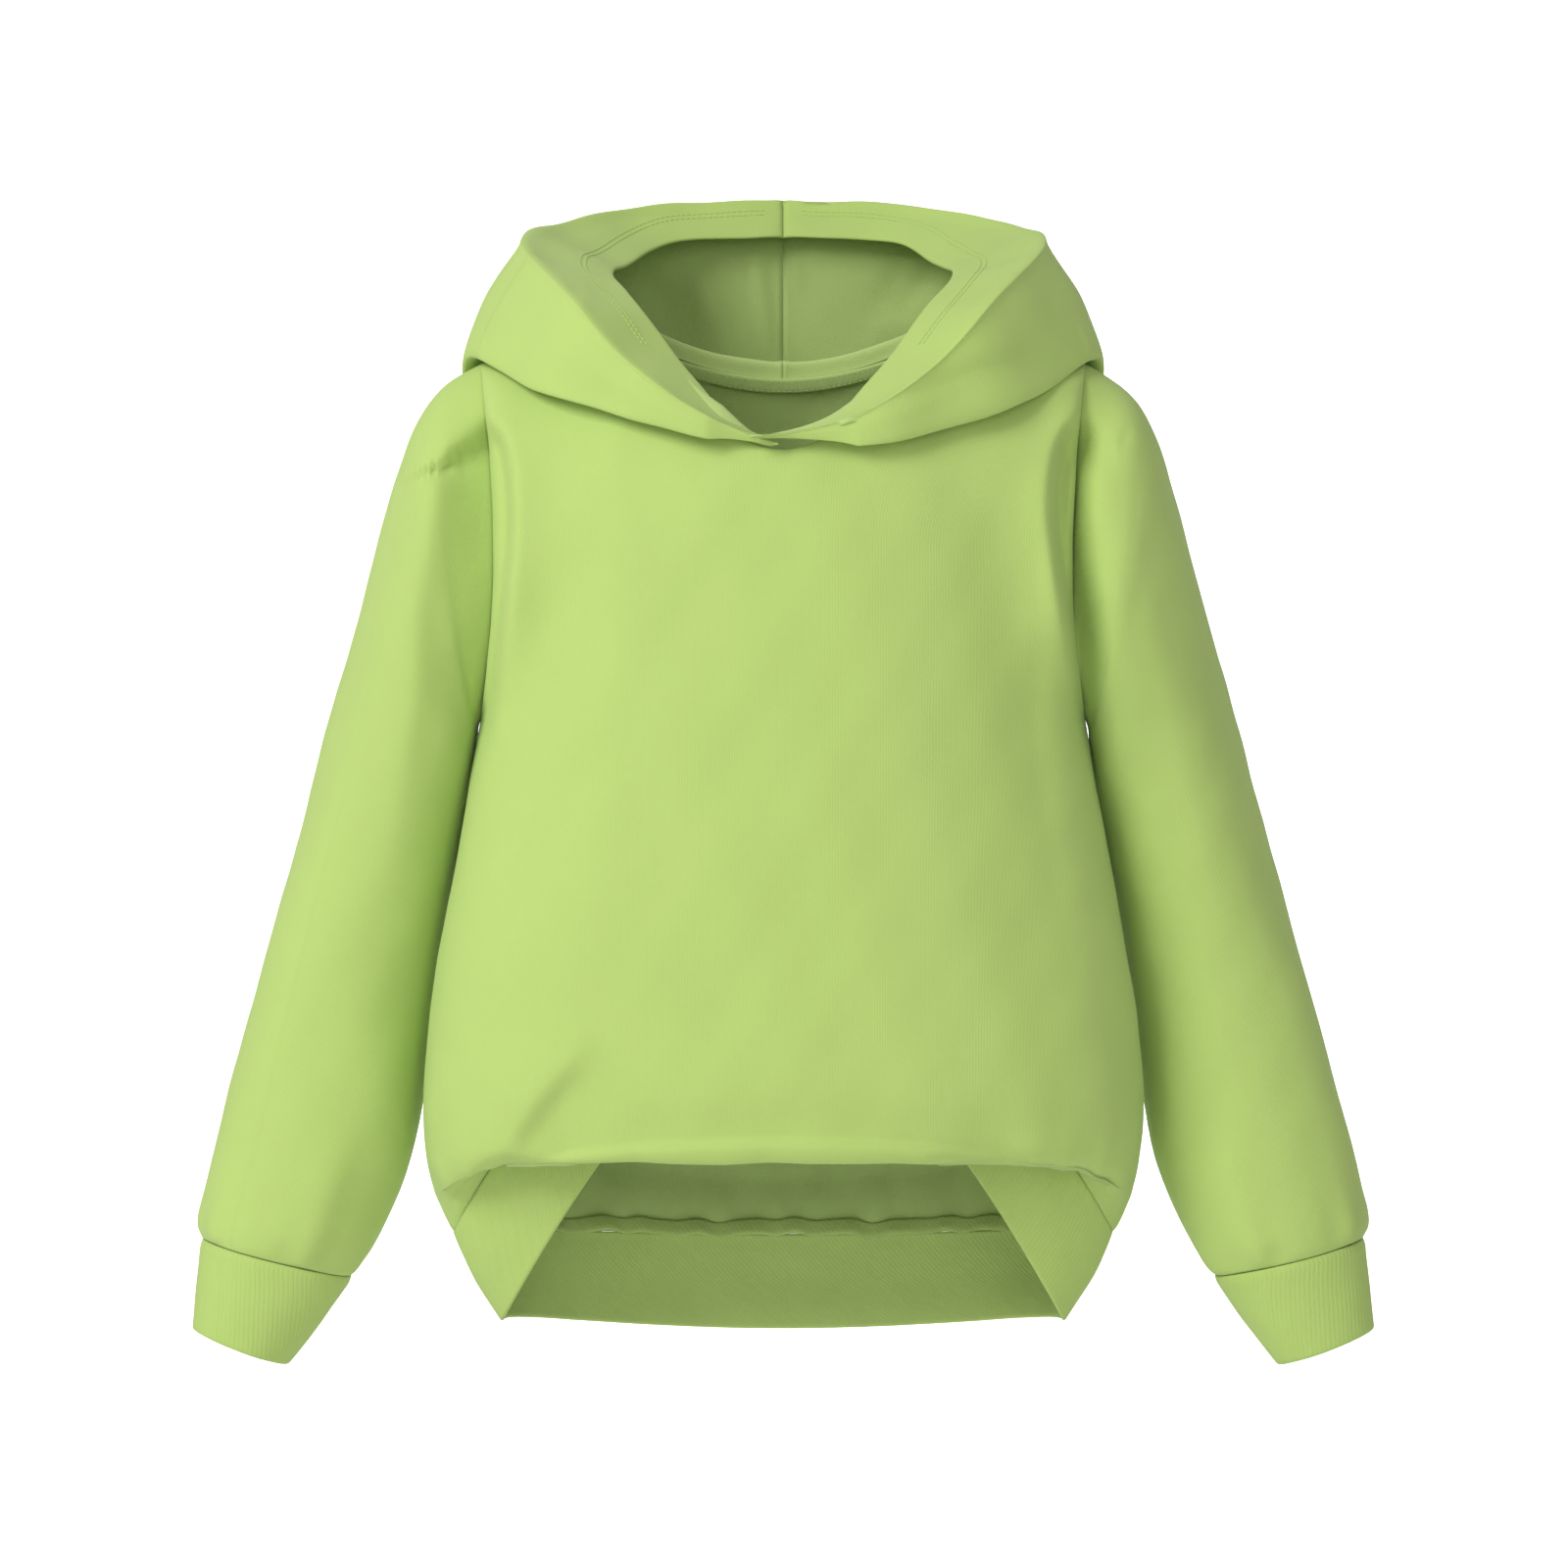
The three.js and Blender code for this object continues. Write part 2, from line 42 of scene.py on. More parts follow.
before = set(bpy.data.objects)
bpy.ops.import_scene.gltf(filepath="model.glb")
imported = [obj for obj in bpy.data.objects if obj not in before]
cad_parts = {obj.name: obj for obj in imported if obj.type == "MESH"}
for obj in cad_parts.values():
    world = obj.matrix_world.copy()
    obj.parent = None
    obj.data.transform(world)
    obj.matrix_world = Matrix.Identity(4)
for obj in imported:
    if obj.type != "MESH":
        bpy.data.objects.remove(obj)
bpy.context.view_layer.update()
MM = 0.001

# Torso above the underarm: a dome closed along the shoulder seams and cut by the neckline
NECK_HALF_WIDTH = 85
NECK_FRONT_REACH = 84
NECK_BACK_REACH = 52
SIDE_NECK_HEIGHT = 14
NECK_RISE = 6
SHOULDER_DROP = 17
SHOULDER_CURVE = 1.3
CHEST_HEIGHT = -105
CHEST_FRONT_DEPTH = 92
CHEST_BACK_DEPTH = 82
SECTION_POWER = 2.3
EASE_PASSES = 24

# Armhole
ACROSS_CHEST_HALF = 152
SHOULDER_TIP_OUT = 8
UNDERARM_OUT = 8
ARMHOLE_HALF_DEPTH = 48
ARMHOLE_RISE = 102
ARMHOLE_FALL = 85
ARMHOLE_SPREAD = 8
ARMHOLE_HOLD = 40

# Front below the underarm, down to the overhanging fold and back up inside it to the rib.
# Columns: middle height, side height, spread, half width, depth.
FRONT_SECTIONS = (
    (-190, -190, 4, 160, 94),
    (-240, -240, 4, 168.5, 96),
    (-295, -300, 4, 179.5, 98),
    (-345, -352, 5, 187.5, 99),
    (-386, -396, 6, 191, 101),
    (-411, -424, 7, 189, 100),
    (-421, -441, 8, 185, 93),
    (-412, -449, 6, 182, 83),
    (-383, -456, 4, 179, 75),
    (-350, -464, 2.9, 175, 68),
)
BACK_SECTIONS = (
    (-190, -190, 2, 160, 85),
    (-240, -240, 2, 168.5, 84),
    (-297, -300, 2, 179.5, 82),
    (-350, -352, 2, 187.5, 81),
    (-400, -396, 2, 191, 80),
    (-440, -434, 2, 187, 78),
    (-471, -464, 2, 175, 74),
)

# Lower edge of the rib band. At the front it climbs from the side corner and hides behind the fold.
HEM_HALF_WIDTH = 150
HEM_FRONT_DEPTH = 60
HEM_BACK_DEPTH = 70
HEM_SIDE_HEIGHT = -510
HEM_BACK_HEIGHT = -521
HEM_FRONT_HEIGHT = -395
HEM_FLAT_HALF = 72
HEM_CLIMB_POWER = 1.2
BAND_SWELL = 2

# Columns: inner X, inner Z, outer X, outer Z, shift to the rear, half depth.
SLEEVE_SECTIONS = (
    (162.3, -197, 181, -16, 2, 54),
    (163, -204, 195, -34, 6, 58),
    (163.8, -212, 206, -64, 12, 60),
    (165, -223, 218, -105, 18, 60),
    (167.5, -240, 231, -151, 25, 58),
    (172.5, -266, 247, -206, 30, 55),
    (180.5, -305, 264, -268, 32, 51),
    (187.5, -347, 277, -315, 32, 48),
    (192, -389, 289, -361, 28, 46),
    (198, -424, 300, -403, 23, 44),
    (209, -453, 308, -438, 18, 42),
    (219, -474, 311.5, -457, 14, 39),
    (229, -488, 310, -467, 12, 35),
)
CUFF_SECTIONS = (
    (229.2, -488.5, 310, -467.6, 12, 35),
    (236, -499, 311, -480, 11, 32),
    (249, -517, 313, -498, 10, 29),
    (262.5, -534, 314.5, -514, 9, 26),
)
SLEEVE_POWER = 2.1

# Columns: turn, how far out and at what tilt the floor rests on the shoulders, then the points of
# the outer corner, the middle of the standing wall, the crest and the rim.
HOOD_SECTIONS = (
    (5, 9, 21, 9, -91, -55, 7, -92, -54, 5, -92, -53, 3, -91, -52),
    (27, 42, 30, 47, -90, -47, 48, -93, -40, 46, -93, -33, 27, -80, -37),
    (50, 78, 41, 91, -75, -34, 88, -82, -21, 80, -84, -8, 48, -64, -13),
    (73, 112, 56, 130, -56, -21, 123, -62, 3, 110, -64, 27, 76, -36, 25),
    (97, 140, 84, 168, -2, -1, 158, 1, 30, 138, 4, 62, 91, 8, 46),
    (124, 128, 42, 160, 62, -46, 152, 78, 20, 124, 70, 79, 82, 62, 58),
    (152, 74, 4, 98, 104, -118, 92, 138, -30, 73, 119, 93, 58, 104, 74),
    (180, 0, 0, 0, 112, -146, 0, 152, -50, 0, 132, 97.5, 0, 118, 78),
)
HOOD_RESTS = (0.15, 0.42, 0.7, 1)
HOOD_CLEAR = 5
NECK_SEAM_LIFT = 0.9
HOOD_ROLL_UP = 9
HOOD_OVERLAP = 20
HOOD_OVER_STEP = 6
HOOD_OVER_LIFT = 3.5
HOOD_OVER_SAG = 7
HOOD_SAG_REACH = 0.57
HOOD_FRONT_STAND = 9
CREST_TO_WALL = 0.2
CREST_TO_RIM = 0.3
COLUMN_SPREAD = 1.3

# Folds, given one by one. Each has its line, how far it is pushed in, how far it reaches to the right
# and to the left of the line as one goes along it, and the shares of the line over which it grows
# and fades. Front folds lie where a viewer in front sees them, in x and z.
FRONT_FOLDS = (
    # Armhole valleys, with the chest's edge and the sleeve's ridge beside them
    (((-163, -31), (-155, -42), (-151, -55), (-149, -75), (-149, -96), (-152, -127), (-155, -155),
      (-159, -190), (-164, -221)), 15, (34, 5), (0.18, 0.25)),
    (((-155, -39), (-145, -60), (-142, -86), (-144, -122), (-148, -164), (-152, -205)),
     -2.5, (6, 16), (0.3, 0.3)),
    (((-179, -55), (-186, -72), (-191, -100), (-196, -134), (-198, -185), (-207, -247), (-217, -309)),
     -4, (14, 10), (0.15, 0.4)),
    (((163, -28), (154, -42), (149, -60), (148, -83), (150, -101), (152, -117), (157, -145),
      (161, -185), (167, -226)), 20, (5, 13), (0.2, 0.3)),
    (((160, -39), (160, -60), (161, -81), (162, -101), (166, -117), (171, -143), (178, -190),
      (188, -237)), -4.5, (9, 15), (0.2, 0.4)),
    (((148, -39), (142, -65), (142, -101), (147, -143), (153, -190)), -2.5, (16, 6), (0.3, 0.3)),
    # Small creases at the shoulder tips
    (((-178, -47), (-172, -51), (-167, -61)), 1.3, (3, 3), (0.4, 0.4)),
    (((-181, -55), (-175, -59)), 0.9, (2.5, 2.5), (0.4, 0.4)),
    (((178, -47), (181, -43), (187, -38)), 1.3, (3, 3), (0.4, 0.4)),
    (((171, -51), (176, -45)), 0.9, (2.5, 2.5), (0.4, 0.4)),
    # Long soft folds down the body and the sleeves
    (((-121, -81), (-126, -143), (-131, -205), (-137, -268), (-145, -320)), 3, (20, 28), (0.3, 0.3)),
    (((136, -55), (132, -101), (135, -143), (131, -195), (137, -252), (147, -309), (157, -361)),
     3.5, (26, 12), (0.25, 0.3)),
    (((110, -91), (105, -143), (111, -205)), 1.5, (22, 22), (0.5, 0.5)),
    (((177, -55), (193, -122), (209, -185), (227, -268), (241, -341)), -3, (14, 20), (0.3, 0.3)),
    (((-244, -205), (-259, -278), (-270, -341), (-279, -398)), -2, (20, 16), (0.4, 0.4)),
    (((-228, -398), (-239, -434), (-250, -460), (-266, -477)), -2.5, (16, 10), (0.4, 0.2)),
    (((227, -398), (236, -429), (248, -460), (262, -481)), -2.5, (10, 16), (0.4, 0.2)),
    # Where the overhanging fold runs out at the sides
    (((-101, -346), (-116, -372), (-134, -394), (-155, -424), (-180, -444)), -6, (34, 11), (0.3, 0.05)),
    (((-103, -372), (-119, -398), (-140, -424)), 4, (10, 24), (0.4, 0.2)),
    (((-166, -431), (-145, -429), (-123, -431)), 4, (9, 4), (0.3, 0.3)),
    (((-132, -424), (-93, -417), (-20, -413), (53, -414), (99, -419), (136, -427)),
     4, (4, 17), (0.12, 0.12)),
    (((71, -430), (110, -432), (146, -436), (180, -443)), 5, (5, 8), (0.2, 0.1)),
)
# Back folds lie in x and z, side folds of a sleeve in y and z
BACK_FOLDS = (
    (((153, -20), (148, -60), (147, -110), (150, -150), (158, -192)), 9, (6, 24), (0.2, 0.2)),
    (((-153, -24), (-148, -64), (-147, -108), (-150, -155), (-158, -196)), 11, (20, 6), (0.2, 0.2)),
    (((186, -80), (194, -140), (206, -200), (224, -262)), -3, (12, 16), (0.3, 0.4)),
    (((-184, -86), (-196, -150), (-204, -214), (-218, -284)), -3.5, (16, 12), (0.3, 0.4)),
    (((112, -150), (118, -220), (124, -300), (128, -360)), 3, (24, 20), (0.3, 0.3)),
    (((-106, -140), (-112, -200), (-122, -280), (-120, -350)), 3.5, (22, 26), (0.3, 0.3)),
    (((20, -190), (34, -260), (30, -330)), 1.5, (26, 26), (0.5, 0.5)),
    (((-150, -418), (-60, -436), (40, -438), (150, -420)), -3, (12, 26), (0.2, 0.2)),
    (((-120, -374), (-20, -388), (90, -378)), 2.5, (20, 24), (0.4, 0.4)),
    (((262, -296), (240, -310), (222, -306)), 2.5, (7, 10), (0.4, 0.4)),
    (((-264, -288), (-244, -304), (-220, -302)), 2.5, (10, 7), (0.4, 0.4)),
    (((270, -338), (250, -346), (230, -338)), 2, (7, 9), (0.4, 0.4)),
)
SIDE_FOLDS = (
    (((-22, -130), (-8, -200), (2, -280), (4, -340)), 2.5, (12, 18), (0.3, 0.3)),
    (((44, -110), (56, -180), (62, -260)), 2, (14, 14), (0.4, 0.4)),
    (((44, -300), (60, -312), (78, -310)), 2.2, (7, 10), (0.4, 0.4)),
    (((42, -340), (58, -348), (74, -344)), 1.8, (6, 9), (0.4, 0.4)),
    (((34, -414), (46, -424), (62, -420)), -1.4, (8, 12), (0.4, 0.4)),
)
# Hood folds, for the two front panels and for the bag behind the opening
HOOD_PANEL_FOLDS = (
    (((-163, -5), (-130, -12), (-100, -20), (-60, -33)), 2, (7, 13), (0.2, 0.3)),
    (((-120, 52), (-104, 24), (-84, -2)), -1.2, (9, 12), (0.4, 0.4)),
    (((166, -6), (130, -2), (88, -14), (48, -30)), 3.5, (8, 16), (0.2, 0.3)),
    (((150, 24), (112, 26), (72, 4)), -1.5, (12, 16), (0.4, 0.4)),
    (((-118, 36), (-112, 33), (-104, 36)), 1.6, (4, 5), (0.4, 0.4)),
)
HOOD_BAG_FOLDS = (
    # The seam's turned allowance, then creases spreading from the rim's corners
    (((-16, 62), (-14, 44), (-10, 20), (-6, -4)), -2, (3, 4), (0.3, 0.2)),
    (((4, 62), (6, 48), (9, 30)), -1.4, (2.5, 3), (0.4, 0.4)),
    (((90, 58), (76, 42), (58, 14)), 4, (8, 9), (0.4, 0.3)),
    (((84, 42), (72, 24), (56, 4)), -2.4, (6, 6), (0.3, 0.3)),
    (((66, 54), (58, 40), (46, 12)), 2.6, (6, 7), (0.4, 0.4)),
    (((62, 30), (52, 14), (44, -2)), -1.6, (5, 6), (0.3, 0.3)),
    (((-82, 52), (-70, 36), (-52, 8)), 3.2, (8, 8), (0.4, 0.3)),
    (((-54, 56), (-46, 40), (-34, 12)), -2, (6, 6), (0.4, 0.3)),
    (((-70, -60), (-30, -74), (24, -70), (66, -56)), -3, (16, 20), (0.3, 0.3)),
    (((-60, -106), (0, -116), (58, -104)), 2.5, (12, 16), (0.3, 0.3)),
)
# Steps along each fold's path, and the depth over which a fold fades round the side
FOLD_SAMPLES = 28
FACING_DEPTH = 22
# Slight unevenness all over: size, then how fast it turns along x, y and z
RIPPLES = (
    (0.32, 0.105, 0.071, 0.038),
    (0.26, -0.062, 0.128, 0.055),
    (0.12, 0.182, 0.024, -0.107),
    (0.08, 0.048, -0.166, 0.192),
)
# Gathers beside a seam: size, share of it and length of each wave
GATHER_WAVES = ((1, 27), (0.6, 41), (0.4, 17))
GATHER_REACH = 11
# Sleeve head: how far it is tucked in at the armhole, and the gap that it keeps
ARMHOLE_ALLOWANCE = 5
SEAM_CLEAR = 0.3
# Shares of the seam depth at the armhole and at the cuff
ARMHOLE_DIP_SHARE = 0.1
CUFF_DIP_SHARE = 1.6
# Share of the front's body rows that are turned up inside the overhanging fold
TURNED_UP_SHARE = 0.3
# Share of the hood's path, from neck to rim, at which the doubled hem begins
HOOD_HEM_START = 0.93
# Share of the fleece's thickness that the hood has, and how much thicker its doubled hem is
HOOD_CLOTH_SHARE = 0.7
HOOD_HEM_GROWTH = 0.6
# How often the direction of the hood's thickness is evened, so that the crest stays closed
CREST_PASSES = 30
# Distances of the hem's two rows of stitches from the rim, and the first column that they cross
HOOD_STITCH_BACK = (15, 18)
HOOD_STITCH_FROM = 56
# Cross sections of narrow strips: along the cloth, and off it
ALLOWANCE_PROFILE = (
    (-1.7, 0.1), (-2.0, 1.1), (-1.2, 2.2), (0.4, 2.5), (3.0, 2.0), (5.6, 1.6), (6.8, 1.2), (7.0, 0.1),
)
TAPE_PROFILE = (
    (-5.2, 1.9), (-5.5, 2.4), (-5.0, 2.9), (-2.5, 3.2), (0, 3.5), (2.4, 3.6), (3.2, 3.1), (2.6, 2.2),
)
TAPE_STITCHES = ((-4.2, 3.0), (1.6, 3.55))

# Camera of the picture: level, straight in front of the garment
CAMERA_PLACE = (0.0005, -2.8, -0.226)
CAMERA_LENS = 121.15
SENSOR_WIDTH = 36


class HoodieCloth(bpy.types.PropertyGroup):
    """Cloth, thread and seam sizes and colours."""

    fleece_colour: bpy.props.FloatVectorProperty(
        name="Fleece colour",
        description="Colour of the face of the fleece",
        subtype="COLOR",
        size=3,
        min=0,
        max=1,
        default=(0.485, 0.651, 0.184),
    )
    rib_colour: bpy.props.FloatVectorProperty(
        name="Rib colour",
        description="Colour of the hem band and the cuffs",
        subtype="COLOR",
        size=3,
        min=0,
        max=1,
        default=(0.470, 0.635, 0.176),
    )
    fleece_thickness: bpy.props.FloatProperty(
        name="Fleece thickness",
        description="Thickness of one layer of fleece",
        unit="LENGTH",
        default=2.0 * MM,
    )
    rib_thickness: bpy.props.FloatProperty(
        name="Rib thickness",
        description="Thickness of the doubled rib",
        unit="LENGTH",
        default=2.4 * MM,
    )
    seam_depth: bpy.props.FloatProperty(
        name="Seam depth",
        description="How far the cloth dips in at a seam",
        unit="LENGTH",
        default=0.7 * MM,
    )
    seam_reach: bpy.props.FloatProperty(
        name="Seam reach",
        description="How far from a seam the dip begins",
        unit="LENGTH",
        default=5.0 * MM,
    )
    wale_width: bpy.props.FloatProperty(
        name="Wale width",
        description="Width of one column of knitted stitches",
        unit="LENGTH",
        default=0.8 * MM,
    )
    rib_width: bpy.props.FloatProperty(
        name="Rib width",
        description="Width of one rib of the hem band and cuffs",
        unit="LENGTH",
        default=2.6 * MM,
    )


class HoodieStage(bpy.types.PropertyGroup):
    """Floor, backdrop and studio light."""

    floor_colour: bpy.props.FloatVectorProperty(
        name="Floor colour",
        description="Colour of the floor and the sweep behind",
        subtype="COLOR",
        size=3,
        min=0,
        max=1,
        default=(0.93, 0.93, 0.93),
    )
    floor_height: bpy.props.FloatProperty(
        name="Floor height",
        description="Height of the floor under the garment",
        unit="LENGTH",
        default=-0.95,
    )
    key_power: bpy.props.FloatProperty(
        name="Key light",
        description="Power of the large soft light in front",
        unit="POWER",
        default=66.0,
    )
    backdrop_power: bpy.props.FloatProperty(
        name="Backdrop light",
        description="Power of the light behind the garment that shines on the sweep",
        unit="POWER",
        default=76.0,
    )
    sky_strength: bpy.props.FloatProperty(
        name="Sky strength",
        description="Strength of the even light from all round",
        default=0.42,
    )


def along(values, place):
    """Smooth value between the rows of a table; place runs from 0 to 1."""
    values = np.asarray(values, float)
    last = len(values) - 1
    before = 2 * values[:1] - values[1:2]
    after = 2 * values[-1:] - values[-2:-1]
    rows = np.concatenate([before, values, after])
    spot = np.clip(np.asarray(place, float), 0, 1) * last
    index = np.clip(np.floor(spot).astype(int), 0, last - 1)
    t = (spot - index).reshape(spot.shape + (1,) * (values.ndim - 1))
    a, b, c, d = (rows[index + k] for k in range(4))
    return b + 0.5 * t * (c - a + t * (2 * a - 5 * b + 4 * c - d + t * (3 * b - a - 3 * c + d)))


def mix(a, b, t):
    return a + (b - a) * t


def smooth(t):
    t = np.clip(t, 0, 1)
    return t * t * (3 - 2 * t)


def points(x, y, z):
    return np.stack(np.broadcast_arrays(x, y, z), axis=-1).astype(float)


def section_out(across):
    """How far out a rounded section is at a place across it, from -1 to 1."""
    return np.sign(across) * np.abs(np.sin(across * np.pi / 2)) ** (2 / SECTION_POWER)


def section_forward(across):
    """How far forward a rounded section is at a place across it."""
    return np.maximum(np.cos(across * np.pi / 2), 0) ** (2 / SECTION_POWER)


def shoulder_height(x):
    out = np.abs(x) - NECK_HALF_WIDTH
    reach = ACROSS_CHEST_HALF + SHOULDER_TIP_OUT - NECK_HALF_WIDTH
    inside = SIDE_NECK_HEIGHT + NECK_RISE * (1 - (x / NECK_HALF_WIDTH) ** 2)
    slope = np.clip(out / reach, 0, 1) ** SHOULDER_CURVE
    return np.where(out < 0, inside, SIDE_NECK_HEIGHT - SHOULDER_DROP * slope)


def edged_depth(full, edge, across):
    """Depth of a section whose side edge stands forward of the side seam by edge."""
    return full * section_forward(across) + edge * np.abs(section_out(across)) ** ARMHOLE_SPREAD


def chest_depth(side, across):
    full = CHEST_FRONT_DEPTH if side < 0 else CHEST_BACK_DEPTH
    return edged_depth(full, ARMHOLE_HALF_DEPTH, across)


def dome(side, across, tilt):
    """The torso's dome: tilt runs from 0 at the chest to 90 degrees at the shoulder seam."""
    up = np.sin(tilt)
    x = section_out(across) * (ACROSS_CHEST_HALF + SHOULDER_TIP_OUT * up * up)
    z = CHEST_HEIGHT + (shoulder_height(x) - CHEST_HEIGHT) * up
    return points(x, side * chest_depth(side, across) * np.cos(tilt), z)


def top_tilt(side, across):
    """The tilt at which the neckline cuts a column of the dome."""
    reach = NECK_FRONT_REACH if side < 0 else NECK_BACK_REACH
    depth = chest_depth(side, across)
    tilt = np.full(np.shape(across), np.pi / 2)
    on_shoulder = np.zeros(np.shape(across), bool)
    for _ in range(16):
        share = dome(side, across, tilt)[..., 0] / NECK_HALF_WIDTH
        on_shoulder = on_shoulder | (np.abs(share) >= 1)
        cut = reach * np.sqrt(np.maximum(1 - share * share, 0)) / depth
        tilt = mix(tilt, np.arccos(np.minimum(cut, 1)), 0.7)
    return np.where(on_shoulder, np.pi / 2, tilt)


def across_at(x, tilt):
    """Place across the dome of a given x."""
    up = np.sin(tilt)
    share = np.minimum(np.abs(x) / (ACROSS_CHEST_HALF + SHOULDER_TIP_OUT * up * up), 1)
    return np.sign(x) * np.arcsin(share ** (SECTION_POWER / 2)) * 2 / np.pi


def armhole_row(side, across, share):
    angle = share * np.pi / 2
    width = ACROSS_CHEST_HALF + UNDERARM_OUT * np.cos(angle) ** 2
    sections = FRONT_SECTIONS if side < 0 else BACK_SECTIONS
    chest = CHEST_FRONT_DEPTH if side < 0 else CHEST_BACK_DEPTH
    full = mix(chest, sections[0][4], np.cos(angle))
    out = section_out(across)
    stand = mix(np.sin(angle) ** 3, np.sin(angle), np.abs(out) ** ARMHOLE_HOLD)
    y = side * edged_depth(full, ARMHOLE_HALF_DEPTH * stand, across)
    return points(out * width, y, CHEST_HEIGHT - ARMHOLE_FALL * np.cos(angle))


def body_row(side, across, place):
    rows = FRONT_SECTIONS if side < 0 else BACK_SECTIONS
    middle, edge, spread, half_width, depth = along(rows, place)
    out = section_out(across)
    z = mix(middle, edge, np.abs(out) ** spread)
    return points(out * half_width, side * depth * section_forward(across), z)


def panel_rows(side, steps):
    """Grid of the front (side -1) or back (side 1), from the neckline down to the rib seam."""
    even = np.linspace(-1, 1, steps["across"] + 1)
    across = np.sign(even) * np.abs(even) ** COLUMN_SPREAD
    tilt = top_tilt(side, across)
    rows = [dome(side, across, tilt * (1 - s)) for s in np.linspace(0, 1, steps["dome"] + 1)]
    for fall in np.linspace(0, 1, steps["armhole"] + 1)[1:]:
        rows.append(armhole_row(side, across, math.acos(fall) * 2 / math.pi))
    for place in np.linspace(0, 1, steps["body"] + 1)[1:]:
        rows.append(body_row(side, across, place))
    rows = np.array(rows)
    join = steps["dome"] + steps["armhole"]
    for _ in range(EASE_PASSES):
        rows[:, 4:-4] += 0.25 * (rows[:, 3:-5] + rows[:, 5:-3] - 2 * rows[:, 4:-4])
        band = rows[join - 9 : join + 10, 4:-4]
        band += 0.25 * (rows[join - 10 : join + 9, 4:-4] + rows[join - 8 : join + 11, 4:-4] - 2 * band)
    return rows


def armhole(angle):
    """The armhole loop of the left arm: angle 0 at the shoulder tip, a quarter turn at the front."""
    up = np.cos(angle)
    out = np.where(up > 0, SHOULDER_TIP_OUT, UNDERARM_OUT)
    reach = np.where(up > 0, ARMHOLE_RISE, ARMHOLE_FALL)
    y = -ARMHOLE_HALF_DEPTH * np.sin(angle)
    return points(ACROSS_CHEST_HALF + out * up * up, y, CHEST_HEIGHT + reach * up)


def arm_ring(section, angle):
    inner_x, inner_z, outer_x, outer_z, back, half_depth = section
    round_power = 2 / SLEEVE_POWER
    out = np.cos(angle)
    front = np.sin(angle)
    share = np.sign(out) * np.abs(out) ** round_power
    x = mix(inner_x, outer_x, (share + 1) / 2)
    z = mix(inner_z, outer_z, (share + 1) / 2)
    return points(x, back - np.sign(front) * np.abs(front) ** round_power * half_depth, z)


def sleeve_rows(around, rows):
    angle = np.linspace(0, 2 * np.pi, around, endpoint=False)
    control = np.array([armhole(angle)] + [arm_ring(s, angle) for s in SLEEVE_SECTIONS])
    return along(control, np.linspace(0, 1, rows + 1))


def cuff_rows(around, rows):
    angle = np.linspace(0, 2 * np.pi, around, endpoint=False)
    control = np.array([arm_ring(s, angle) for s in CUFF_SECTIONS])
    return along(control, np.linspace(0, 1, rows + 1))


def band_rows(around, rows):
    """The rib band: angle 0 at the wearer's left side seam, a quarter turn at the centre front."""
    columns = []
    for angle in np.linspace(0, 2 * np.pi, around, endpoint=False):
        at_front = angle <= np.pi
        side = -1 if at_front else 1
        across = 1 - 2 * (angle if at_front else 2 * np.pi - angle) / np.pi
        top = body_row(side, across, 1.0)
        sideness = abs(section_out(across)) ** 2
        x = HEM_HALF_WIDTH * section_out(across)
        climb = max(abs(x) - HEM_FLAT_HALF, 0) / (HEM_HALF_WIDTH - HEM_FLAT_HALF)
        front_z = mix(HEM_FRONT_HEIGHT, HEM_SIDE_HEIGHT, climb**HEM_CLIMB_POWER)
        back_z = mix(HEM_BACK_HEIGHT, HEM_SIDE_HEIGHT, sideness)
        depth = HEM_FRONT_DEPTH if at_front else HEM_BACK_DEPTH
        hem = points(x, side * depth * section_forward(across), front_z if at_front else back_z)
        middle = mix(top, hem, 0.5)
        middle[:2] *= 1 + BAND_SWELL / math.hypot(middle[0], middle[1])
        columns.append([top, middle, hem])
    control = np.array(columns).transpose(1, 0, 2)
    return along(control, np.linspace(0, 1, rows + 1))


